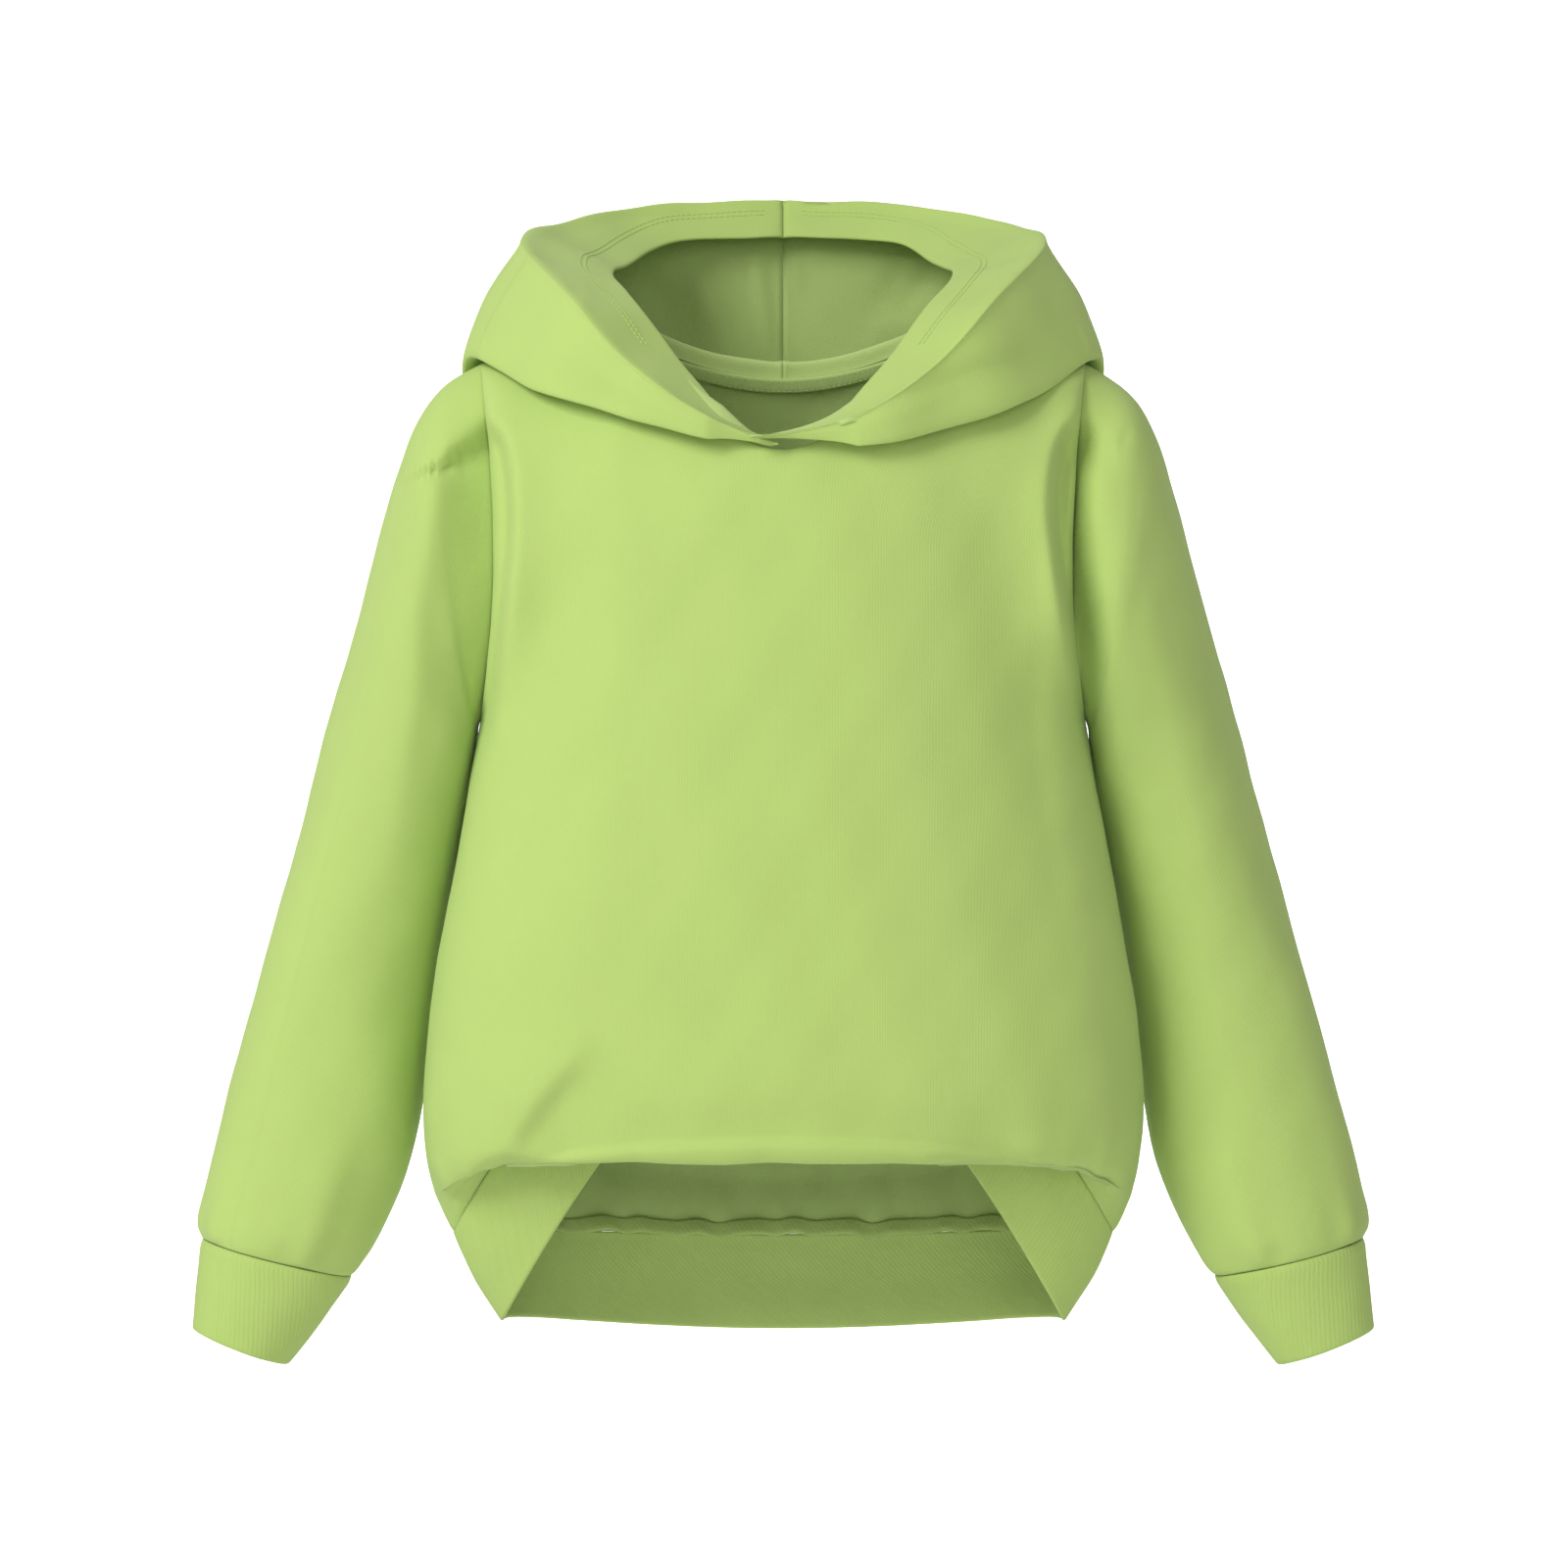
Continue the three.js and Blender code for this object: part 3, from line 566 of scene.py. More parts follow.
def hood_rows(over, around, rows):
    """One side of the hood: columns run from the centre front to the centre back."""
    place = np.linspace(0, 1, around + 1)
    table = along(HOOD_SECTIONS, place).T
    turn, floor_x, floor_tilt = np.radians(table[0]), table[1], np.radians(table[2])
    corner, wall, crest, rim = (table[k : k + 3].T.copy() for k in (3, 6, 9, 12))
    side = np.where(np.cos(turn) > 0, -1, 1)
    neck_x = NECK_HALF_WIDTH * np.sin(turn)
    reach = np.where(side < 0, NECK_FRONT_REACH, NECK_BACK_REACH)

    def on_dome(x, tilt):
        front, back = (dome(s, across_at(x, tilt), tilt) for s in (-1, 1))
        return np.where((side < 0)[:, None], front, back)

    half_way = across_at(neck_x, np.radians(50))
    neck_tilt = np.where(side < 0, top_tilt(-1, half_way), top_tilt(1, half_way))
    neck = on_dome(neck_x, neck_tilt)
    neck[:, 1] = side * reach * np.abs(np.cos(turn))
    roll = neck + (0, 0, HOOD_ROLL_UP)
    resting = []
    for share in HOOD_RESTS:
        tilt = mix(neck_tilt, floor_tilt, share)
        rest = on_dome(mix(neck[:, 0], floor_x, share), tilt)
        rest[:, 2] += HOOD_CLEAR * np.sin(tilt) + 1
        rest[:, 1] += side * HOOD_CLEAR * np.cos(tilt)
        resting.append(rest)
    if over:
        sag = HOOD_OVER_SAG * np.sin(np.pi * np.minimum(place / HOOD_SAG_REACH, 1))
        corner[:, 2] -= sag
        wall[:, 2] -= sag / 2
    neck = neck + (0, 0, NECK_SEAM_LIFT)
    before = mix(crest, wall, CREST_TO_WALL)
    after = mix(crest, rim, CREST_TO_RIM)
    path = np.array([neck, roll, *resting, corner, wall, before, crest, after, rim])
    stand = np.maximum(1 - place * HOOD_FRONT_STAND, 0)[:, None]
    for i in range(len(path)):
        path[i] = mix(path[i], mix(neck, rim, i / (len(path) - 1)), stand)
    if over:
        moved = np.hstack([-stand * HOOD_OVERLAP, -np.ones_like(stand) * HOOD_OVER_STEP])
        moved = np.hstack([moved, np.ones_like(stand) * HOOD_OVER_LIFT])
        path += stand * moved
    return along(path, np.linspace(0, 1, rows + 1))


def unit(directions):
    """Directions at a length of one."""
    return directions / np.linalg.norm(directions, axis=-1, keepdims=True)


def outward_at(rows, ring, flip):
    """Outward direction at each point of a grid."""
    down = np.gradient(rows, axis=0)
    if ring:
        side = np.roll(rows, -1, axis=1) - np.roll(rows, 1, axis=1)
    else:
        side = np.gradient(rows, axis=1)
    direction = np.cross(down, side) * flip
    length = np.linalg.norm(direction, axis=-1, keepdims=True)
    return direction / np.maximum(length, 1e-9)


def row_lengths(rows):
    """Distance of each grid point down its column, from the first row."""
    step = np.linalg.norm(np.diff(rows, axis=0), axis=-1)
    return np.concatenate([np.zeros((1,) + step.shape[1:]), np.cumsum(step, axis=0)])


def column_lengths(rows):
    """Distance of each grid point along its row, from the first column."""
    return row_lengths(rows.transpose(1, 0, 2)).T


def at_distance(grid, distance, wanted):
    """The point of each column at a wanted distance from the last row."""
    columns = []
    for c in range(grid.shape[1]):
        known = distance[::-1, c]
        columns.append([np.interp(wanted, known, grid[::-1, c, k]) for k in range(3)])
    return np.array(columns)


def dip_at(distance, reach):
    """Depth of a seam's dip at a distance from it, as a share: 1 on the seam, 0 at its reach."""
    return np.clip(1 - distance / reach, 0, 1) ** 2


def seen(rows, view):
    """Where points lie across and up in one view. The front is seen from the camera's place."""
    x, y, z = np.moveaxis(rows, -1, 0)
    if view == "side":
        return np.stack([y, z], axis=-1)
    if view == "back":
        return np.stack([x, z], axis=-1)
    middle_x, camera_y, middle_z = (value / MM for value in CAMERA_PLACE)
    nearness = camera_y / (camera_y - y)
    across = middle_x + (x - middle_x) * nearness
    up = middle_z + (z - middle_z) * nearness
    return np.stack([across, up], axis=-1)


def fold_push(spots, fold):
    """How far one fold pushes each spot in."""
    path, depth, reach, (grow, fade) = fold
    line = along(path, np.linspace(0, 1, FOLD_SAMPLES + 1))
    step = np.diff(line, axis=0)
    away = spots[:, None] - line[:-1]
    t = np.clip((away * step).sum(-1) / (step * step).sum(-1), 0, 1)
    distance = np.linalg.norm(away - t[..., None] * step, axis=-1)
    nearest = distance.argmin(axis=1)
    row = np.arange(len(spots))
    place = (nearest + t[row, nearest]) / FOLD_SAMPLES
    to_spot = away[row, nearest]
    turn = step[nearest, 0] * to_spot[:, 1] - step[nearest, 1] * to_spot[:, 0]
    width = np.where(turn > 0, reach[1], reach[0])
    ends = smooth(place / grow) * smooth((1 - place) / fade)
    return depth * ends * np.exp(-((distance[row, nearest] / width) ** 2))


def folded(rows, folds, view):
    """How far a list of folds pushes each point of a grid in, as seen in one view."""
    spots = seen(rows, view).reshape(-1, 2)
    push = np.zeros(len(spots))
    for fold in folds:
        line = np.array(fold[0], float)
        margin = 2.6 * max(fold[2])
        near = np.all((spots > line.min(0) - margin) & (spots < line.max(0) + margin), axis=1)
        if near.any():
            push[near] += fold_push(spots[near], fold)
    return push.reshape(rows.shape[:-1])


def ripple(rows):
    """Slight unevenness of the cloth at each point of a grid."""
    return sum(size * np.sin(rows @ np.array(rate) + 9 * size) for size, *rate in RIPPLES)


def gathers(distance, place, reach):
    """Fullness pinched by a seam: none on it, most a reach away from it, then fading."""
    share = distance / reach
    wave = sum(part * np.sin(2 * np.pi * place / length + length) for part, length in GATHER_WAVES)
    return share * np.exp(1 - share) * wave


def closed_wall(outer, outward, thick, ring, rounded):
    """Points, faces and inner faces of one closed layer of cloth; rounded row ends are folds."""
    inner = outer - outward * thick
    last = len(outer) - 1

    def cap(row, beyond, is_round):
        if not is_round:
            return []
        away = outer[row] - outer[beyond]
        away /= np.maximum(np.linalg.norm(away, axis=-1, keepdims=True), 1e-9)
        centre = (outer[row] + inner[row]) / 2
        half = (outer[row] - inner[row]) / 2
        turns = [math.radians(a) for a in (45, 90, 135)]
        bulge = np.linalg.norm(half, axis=-1, keepdims=True)
        return [centre + half * math.cos(a) + away * bulge * math.sin(a) for a in turns]

    end = cap(last, last - 1, rounded[1])
    start = cap(0, 1, rounded[0])[::-1]
    loop = np.array([*outer, *end, *inner[::-1], *start])
    depth, width = loop.shape[:2]
    faces = []
    inside = []
    first_inner = last + 1 + len(end)
    columns = width if ring else width - 1
    for r in range(depth):
        a = r * width
        b = (r + 1) % depth * width
        for c in range(columns):
            d = (c + 1) % width
            faces.append((a + c, b + c, b + d, a + d))
            inside.append(first_inner <= r < first_inner + last)
    if not ring:
        first = first_inner
        for column in (0, width - 1):
            sides = [
                (r, r + 1, first + last - r - 1, first + last - r) for r in range(last)
            ]
            for rows_of in sides:
                face = [k * width + column for k in rows_of]
                faces.append(tuple(face if column else face[::-1]))
            for part, low, high in ((end, last, first), (start, first + last, 0)):
                if part:
                    ids = range(low, low + len(part) + 2)
                    face = [k % depth * width + column for k in ids]
                    faces.append(tuple(face if column else face[::-1]))
    inside += [False] * (len(faces) - len(inside))
    return loop, faces, inside


def store_grain(mesh, grain):
    """Keeps each point's place across and along the cloth, in metres, for the knit."""
    attribute = mesh.attributes.new("grain", "FLOAT_VECTOR", "POINT")
    attribute.data.foreach_set("vector", grain.astype(np.float32).ravel())


def placed(name, mesh):
    """An object of its own for a mesh, in the scene."""
    piece = bpy.data.objects.new(name, mesh)
    bpy.context.scene.collection.objects.link(piece)
    return piece


def trim_object(name, mesh, material):
    """A tape, an allowance or a row of stitches, sewn to the fleece."""
    mesh.shade_smooth()
    mesh.materials.append(material)
    piece = placed(name, mesh)
    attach(piece, "root")
    return piece


def cloth_object(name, outer, outward, thick, finishes, ring=False, rounded=(False, False), flip=1):
    """A closed layer of cloth as an object in metres, with its grain stored for the material."""
    loop, faces, inside = closed_wall(outer, outward, thick, ring, rounded)
    if flip < 0:
        faces = [f[::-1] for f in faces]
    mesh = bpy.data.meshes.new(name)
    mesh.from_pydata((loop.reshape(-1, 3) * MM).tolist(), [], faces)
    grain = np.zeros(loop.shape)
    over = column_lengths(loop)
    grain[..., 0] = (over if ring else over - over[:, loop.shape[1] // 2][:, None]) * MM
    grain[..., 1] = row_lengths(loop) * MM
    store_grain(mesh, grain)
    for finish in finishes:
        mesh.materials.append(finish_material(finish))
    mesh.polygons.foreach_set("material_index", np.array(inside, np.int32))
    mesh.shade_smooth()
    mesh.update()
    return placed(name, mesh)


def strip_object(name, base, rise, lift, profile, material):
    """A narrow closed strip along a line on the cloth. A profile point is (along rise, along lift)."""
    ring = len(profile)
    corners = [base + rise * u + lift * v for u, v in profile]
    loop = np.array(corners).transpose(1, 0, 2)
    faces = []
    for r in range(len(base) - 1):
        for c in range(ring):
            d = (c + 1) % ring
            faces.append((r * ring + c, (r + 1) * ring + c, (r + 1) * ring + d, r * ring + d))
    faces.append(tuple(range(ring)))
    faces.append(tuple(range(len(base) * ring - 1, (len(base) - 1) * ring - 1, -1)))
    mesh = bpy.data.meshes.new(name)
    mesh.from_pydata((loop.reshape(-1, 3) * MM).tolist(), [], faces)
    grain = np.zeros(loop.shape)
    grain[..., 0] = row_lengths(loop) * MM
    grain[..., 1] = np.array([u for u, v in profile]) * MM
    store_grain(mesh, grain)
    return trim_object(name, mesh, material)


def stitch_object(name, lines, length, pitch, radius, material):
    """Rows of separate stitches. Each line is a pair of grids: points, and directions off the cloth."""
    places = []
    faces = []
    sides = 5
    girths = (0.35, 0.95, 1, 0.95, 0.35)
    for line, lift in lines:
        run = np.concatenate([[0], np.cumsum(np.linalg.norm(np.diff(line, axis=0), axis=-1))])
        starts = np.arange(pitch, run[-1] - pitch, pitch)
        for start in starts:
            at = start + length * np.array([0, 0.2, 0.5, 0.8, 1])
            spot = np.stack([np.interp(at, run, line[:, k]) for k in range(3)], axis=-1)
            up = np.stack([np.interp(at, run, lift[:, k]) for k in range(3)], axis=-1)
            ahead = spot[-1] - spot[0]
            beside = np.cross(ahead / np.linalg.norm(ahead), up)
            first = len(places) * sides
            for k, size in enumerate(girths):
                angle = np.arange(sides) * 2 * np.pi / sides
                ring = spot[k] + radius * size * (
                    np.cos(angle)[:, None] * beside[k] + (np.sin(angle)[:, None] + 0.2) * up[k]
                )
                places.append(ring)
            for k in range(4):
                a = first + k * sides
                for c in range(sides):
                    d = (c + 1) % sides
                    faces.append((a + c, a + d, a + sides + d, a + sides + c))
            faces.append(tuple(range(first + sides - 1, first - 1, -1)))
            faces.append(tuple(range(first + 4 * sides, first + 5 * sides)))
    mesh = bpy.data.meshes.new(name)
    mesh.from_pydata((np.concatenate(places) * MM).tolist(), [], faces)
    return trim_object(name, mesh, material)


def new_material(name):
    material = bpy.data.materials.new(name)
    material.use_nodes = True
    tree = material.node_tree
    return material, tree, tree.nodes["Principled BSDF"]


def arithmetic(tree, operation, *values):
    """A Math node fed by numbers and sockets; gives its output."""
    node = tree.nodes.new("ShaderNodeMath")
    node.operation = operation
    for k, value in enumerate(values):
        if isinstance(value, (int, float)):
            node.inputs[k].default_value = value
        else:
            tree.links.new(value, node.inputs[k])
    return node.outputs[0]


def blend_colours(tree, share, first, second):
    node = tree.nodes.new("ShaderNodeMix")
    node.data_type = "RGBA"
    for socket, value in (("Factor_Float", share), ("A_Color", first), ("B_Color", second)):
        target = next(i for i in node.inputs if i.identifier == socket)
        if isinstance(value, (float, tuple)):
            target.default_value = value
        else:
            tree.links.new(value, target)
    return next(o for o in node.outputs if o.identifier == "Result_Color")


def cloth_noise(tree, scale, detail, roughness=0.5):
    place = tree.nodes.new("ShaderNodeTexCoord")
    noise = tree.nodes.new("ShaderNodeTexNoise")
    noise.inputs["Scale"].default_value = scale
    noise.inputs["Detail"].default_value = detail
    noise.inputs["Roughness"].default_value = roughness
    tree.links.new(place.outputs["Object"], noise.inputs["Vector"])
    return noise.outputs["Fac"]


def knit_group():
    """Knitted cloth: colour and height of its wales, stitches, ribs and loose fibres. The colour carries
    painted shade in the hollows between stitches and between ribs.
    """
    name = "knit"
    if name in bpy.data.node_groups:
        return bpy.data.node_groups[name]
    group = bpy.data.node_groups.new(name, "ShaderNodeTree")
    face = group.interface
    face.new_socket("Colour", in_out="INPUT", socket_type="NodeSocketColor")
    for label, value in (
        ("Wale width", 0.0008),
        ("Rib width", 0.0026),
        ("Rib depth", 0.0),
        ("Stitch depth", 0.3),
        ("Fuzz", 0.3),
        ("Shade", 0.05),
    ):
        socket = face.new_socket(label, in_out="INPUT", socket_type="NodeSocketFloat")
        socket.default_value = value
    face.new_socket("Colour", in_out="OUTPUT", socket_type="NodeSocketColor")
    face.new_socket("Height", in_out="OUTPUT", socket_type="NodeSocketFloat")
    start = group.nodes.new("NodeGroupInput").outputs
    end = group.nodes.new("NodeGroupOutput").inputs
    grain = group.nodes.new("ShaderNodeAttribute")
    grain.attribute_name = "grain"
    split = group.nodes.new("ShaderNodeSeparateXYZ")
    group.links.new(grain.outputs["Vector"], split.inputs[0])

    def maths(operation, *values):
        return arithmetic(group, operation, *values)

    across = maths("DIVIDE", split.outputs[0], start["Wale width"])
    centred = maths("ABSOLUTE", maths("SUBTRACT", maths("FRACT", across), 0.5))
    rounding = maths("MULTIPLY", centred, maths("MULTIPLY", centred, 4.0))
    wale = maths("SUBTRACT", 1.0, rounding)
    course_height = maths("MULTIPLY", start["Wale width"], 0.8)
    course = maths("DIVIDE", split.outputs[1], course_height)
    slanted = maths("MULTIPLY", maths("ADD", course, centred), 2 * math.pi)
    stitch = maths("MULTIPLY_ADD", maths("SINE", slanted), 0.25, 0.75)
    loops = maths("MULTIPLY", maths("MULTIPLY", wale, stitch), start["Stitch depth"])
    turn = maths("DIVIDE", split.outputs[0], start["Rib width"])
    rib = maths("ABSOLUTE", maths("SINE", maths("MULTIPLY", turn, math.pi)))
    ribs = maths("MULTIPLY", maths("POWER", rib, 0.6), start["Rib depth"])
    fibres = cloth_noise(group, 1500, 3, 0.7)
    fuzz = maths("MULTIPLY", fibres, start["Fuzz"])
    height = maths("ADD", maths("ADD", loops, ribs), fuzz)
    group.links.new(height, end["Height"])
    cloudy = cloth_noise(group, 16, 3)
    worn = maths("MULTIPLY_ADD", cloudy, 0.8, maths("MULTIPLY", fibres, 0.6))
    dark = blend_colours(group, 0.82, (0.0, 0.0, 0.0, 1.0), start["Colour"])
    tone = maths("MULTIPLY", maths("SUBTRACT", worn, 0.2), start["Shade"])
    # Painted shade: the colour darkens where the stitches and the ribs are low, in their hollows. The
    # cloudy tone above is random.
    stitch_hollow_shade = maths("MULTIPLY", maths("SUBTRACT", start["Stitch depth"], loops), 0.12)
    rib_hollow_shade = maths("MULTIPLY", maths("SUBTRACT", start["Rib depth"], ribs), 0.12)
    share = maths("ADD", maths("ADD", tone, stitch_hollow_shade), rib_hollow_shade)
    share.node.use_clamp = True
    group.links.new(blend_colours(group, share, start["Colour"], dark), end["Colour"])
    return group


RIB_KNIT = {"Stitch depth": 0.4, "Rib depth": 0.8, "Fuzz": 0.3, "Shade": 0.5}
# Each cloth finish: its colour in the sidebar, a tint towards white, then the knit group's values,
# the height of its relief in metres, its roughness and its sheen
FINISHES = {
    "fleece_face": (
        "fleece_colour", 0.0, {"Stitch depth": 0.5, "Fuzz": 0.5, "Shade": 0.5}, 0.00022, 0.93, 0.12
    ),
    "fleece_back": (
        "fleece_colour", 0.05, {"Stitch depth": 0.1, "Fuzz": 1.0, "Shade": 0.7}, 0.0005, 0.97, 0.2
    ),
    "rib_face": ("rib_colour", 0.0, RIB_KNIT, 0.00025, 0.93, 0.1),
    "rib_inside": ("rib_colour", 0.02, RIB_KNIT, 0.00025, 0.93, 0.1),
    "tape": (
        "fleece_colour", 0.06, {"Stitch depth": 0.9, "Fuzz": 0.3, "Shade": 0.4}, 0.00025, 0.9, 0.1
    ),
    "overlock": (
        "fleece_colour",
        0.02,
        {"Stitch depth": 1.0, "Rib depth": 1.0, "Fuzz": 0.4, "Shade": 0.5},
        0.0004,
        0.9,
        0.1,
    ),
    "thread": (
        "fleece_colour", 0.03, {"Stitch depth": 0.3, "Fuzz": 0.4, "Shade": 0.3}, 0.0001, 0.75, 0.05
    ),
}


def finish_material(name):
    """The material of one cloth finish, made once."""
    found = bpy.data.materials.get(name)
    if found:
        return found
    colour_name, tint, values, relief, rough, sheen = FINISHES[name]
    cloth = cloth_settings()
    material, tree, shader = new_material(name)
    knit = tree.nodes.new("ShaderNodeGroup")
    knit.node_tree = knit_group()
    colour = [mix(part, 1, tint) for part in getattr(cloth, colour_name)]
    knit.inputs["Colour"].default_value = (*colour, 1)
    knit.inputs["Wale width"].default_value = cloth.wale_width
    knit.inputs["Rib width"].default_value = cloth.rib_width
    for label, value in values.items():
        knit.inputs[label].default_value = value
    bump = tree.nodes.new("ShaderNodeBump")
    bump.inputs["Distance"].default_value = relief
    bump.inputs["Strength"].default_value = 0.8
    tree.links.new(knit.outputs["Height"], bump.inputs["Height"])
    tree.links.new(bump.outputs["Normal"], shader.inputs["Normal"])
    tree.links.new(knit.outputs["Colour"], shader.inputs["Base Color"])
    shader.inputs["Roughness"].default_value = rough
    shader.inputs["Sheen Weight"].default_value = sheen
    shader.inputs["Sheen Roughness"].default_value = 0.5
    shader.inputs["Specular IOR Level"].default_value = 0.15
    return material


def dress(piece, node):
    """Hangs a piece of cloth on the root and hides the solid that it stands for."""
    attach(piece, "root")
    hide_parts(node)


def cloth_settings():
    return bpy.context.scene.hoodie_cloth


def square(directions, axis):
    """Turns directions square to one axis, so that two pieces meet face to face."""
    directions[..., axis] = 0
    directions /= np.maximum(np.linalg.norm(directions, axis=-1, keepdims=True), 1e-9)


def neck_tape():
    """The tape that covers the back neck seam inside, with a row of stitches along each edge."""
    across = np.linspace(-1, 1, 121) * across_at(NECK_HALF_WIDTH * 0.97, np.radians(60))
    tilt = top_tilt(1, across)
    edge = dome(1, across, tilt)
    below = dome(1, across, tilt - 0.06)
    fall = unit(below - edge)
    side = np.gradient(edge, axis=0)
    lift = unit(np.cross(side, fall))
    lift *= -np.sign(lift[len(across) // 2, 1])
    rise = unit(mix(-fall, np.array([0, 0, 1.0]), 0.4))
    material = finish_material("tape")
    tape = strip_object("neck_tape", edge, rise, lift, TAPE_PROFILE, material)
    rows = [(edge + rise * u + lift * v, lift) for u, v in TAPE_STITCHES]
    stitches = stitch_object("neck_tape_stitches", rows, 2.2, 3, 0.22, finish_material("thread"))
    return [tape, stitches]


class HOODIE_OT_panels(bpy.types.Operator):
    """Makes the front and the back, with the hem's overlocked allowance inside the back"""

    bl_idname = "hoodie.panels"
    bl_label = "Front and back"

    def execute(self, context):
        cloth = cloth_settings()
        depth, reach = cloth.seam_depth / MM, cloth.seam_reach / MM
        thick = cloth.fleece_thickness / MM
        for node, side, steps, flat, area in (
            ("front", -1, {"across": 180, "dome": 60, "armhole": 44, "body": 170}, (0.47, 0.56), 0.2),
            ("back", 1, {"across": 150, "dome": 50, "armhole": 34, "body": 104}, (0.47, 0.5), 0.195),
        ):
            rows = panel_rows(side, steps)
            flip = -side
            outward = outward_at(rows, False, flip)
            down = row_lengths(rows)
            over = column_lengths(rows)
            low = rows[:, 0, 2] < CHEST_HEIGHT - ARMHOLE_FALL
            dip = np.maximum(dip_at(down, reach), dip_at(down[-1] - down, reach))
            beside = np.maximum(dip_at(over, reach), dip_at(over[:, -1:] - over, reach))
            below = smooth((CHEST_HEIGHT - ARMHOLE_FALL - rows[:, 0, 2]) / 20)
            dip = np.maximum(dip, beside * mix(ARMHOLE_DIP_SHARE, 0.6, below)[:, None])
            facing = smooth(side * rows[..., 1] / FACING_DEPTH)
            folds, view = (FRONT_FOLDS, "front") if side < 0 else (BACK_FOLDS, "back")
            moved = rows.copy()
            if side < 0:
                outer_layer = np.arange(len(rows)) < len(rows) - steps["body"] * TURNED_UP_SHARE
                facing = facing * outer_layer[:, None]
                fullness = 0.5
            else:
                fullness = 1.3
            moved[..., 1] -= side * folded(rows, folds, view) * facing
            swell = ripple(rows) + fullness * gathers(down[-1] - down, over[-1], GATHER_REACH)
            edge = 1 - np.maximum(dip_at(over, 12), dip_at(over[:, -1:] - over, 12))
            swell = swell * edge * (1 - dip_at(down, 12))
            rows = moved + outward * (swell - dip * depth)[..., None]
            outward = outward_at(rows, False, flip)
            for column in (0, -1):
                ends = outward[low, column]
                square(ends, 1)
                outward[low, column] = ends
            piece = cloth_object(
                f"{node}_cloth", rows, outward, thick, ("fleece_face", "fleece_back"), flip=flip
            )
            if side > 0:
                inner = rows - outward * thick
                line = inner[-1].copy()
                place = over[-1]
                line[:, 2] += 0.7 * np.sin(place / 15) + 0.25 * np.sin(place / 6.5 + 1)
                rise = unit(inner[-8] - inner[-1])
                material = finish_material("overlock")
                allowance = strip_object(
                    "hem_allowance", line, rise, -outward[-1], ALLOWANCE_PROFILE, material
                )
            dress(piece, node)
        return {"FINISHED"}


class HOODIE_OT_sleeves(bpy.types.Operator):
    """Makes the two sleeves"""

    bl_idname = "hoodie.sleeves"
    bl_label = "Sleeves"

    def execute(self, context):
        cloth = cloth_settings()
        depth, reach = cloth.seam_depth / MM, cloth.seam_reach / MM
        thick = cloth.fleece_thickness / MM
        for arm, mirror in (("left", 1), ("right", -1)):
            rows = sleeve_rows(120, 190) * (mirror, 1, 1)
            flip = -mirror
            outward = outward_at(rows, True, flip)
            down = row_lengths(rows)
            over = column_lengths(rows)
            dip = dip_at(down, reach) * ARMHOLE_DIP_SHARE
            dip = np.maximum(dip, dip_at(down[-1] - down, reach) * CUFF_DIP_SHARE)
            centre = rows.mean(axis=1, keepdims=True)
            away = (rows - centre) * (mirror, 1, 1) / FACING_DEPTH
            moved = rows.copy()
            moved[..., 1] += folded(rows, FRONT_FOLDS, "front") * smooth(-away[..., 1])
            moved[..., 1] -= folded(rows, BACK_FOLDS, "back") * smooth(away[..., 1])
            moved[..., 0] -= mirror * folded(rows, SIDE_FOLDS, "side") * smooth(away[..., 0])
            fullness = 0.8 * gathers(down[-1] - down, over[-1], 9)
            swell = ripple(rows + (0, 0, 40 * mirror)) * (1 - dip_at(down, 16)) + fullness
            rows = moved + outward * (swell - dip * depth)[..., None]
            outward = outward_at(rows, True, flip)
            inward = unit(rows[0] - rows[2])
            tucked = rows[0] + inward * ARMHOLE_ALLOWANCE - outward[0] * (thick + SEAM_CLEAR)
            rows = np.concatenate([tucked[None], rows])
            outward = np.concatenate([outward[:1], outward])
            piece = cloth_object(
                f"sleeve_{arm}_cloth",
                rows,
                outward,
                thick,
                ("fleece_face", "fleece_back"),
                ring=True,
                flip=flip,
            )
            dress(piece, f"sleeve_{arm}")
        return {"FINISHED"}


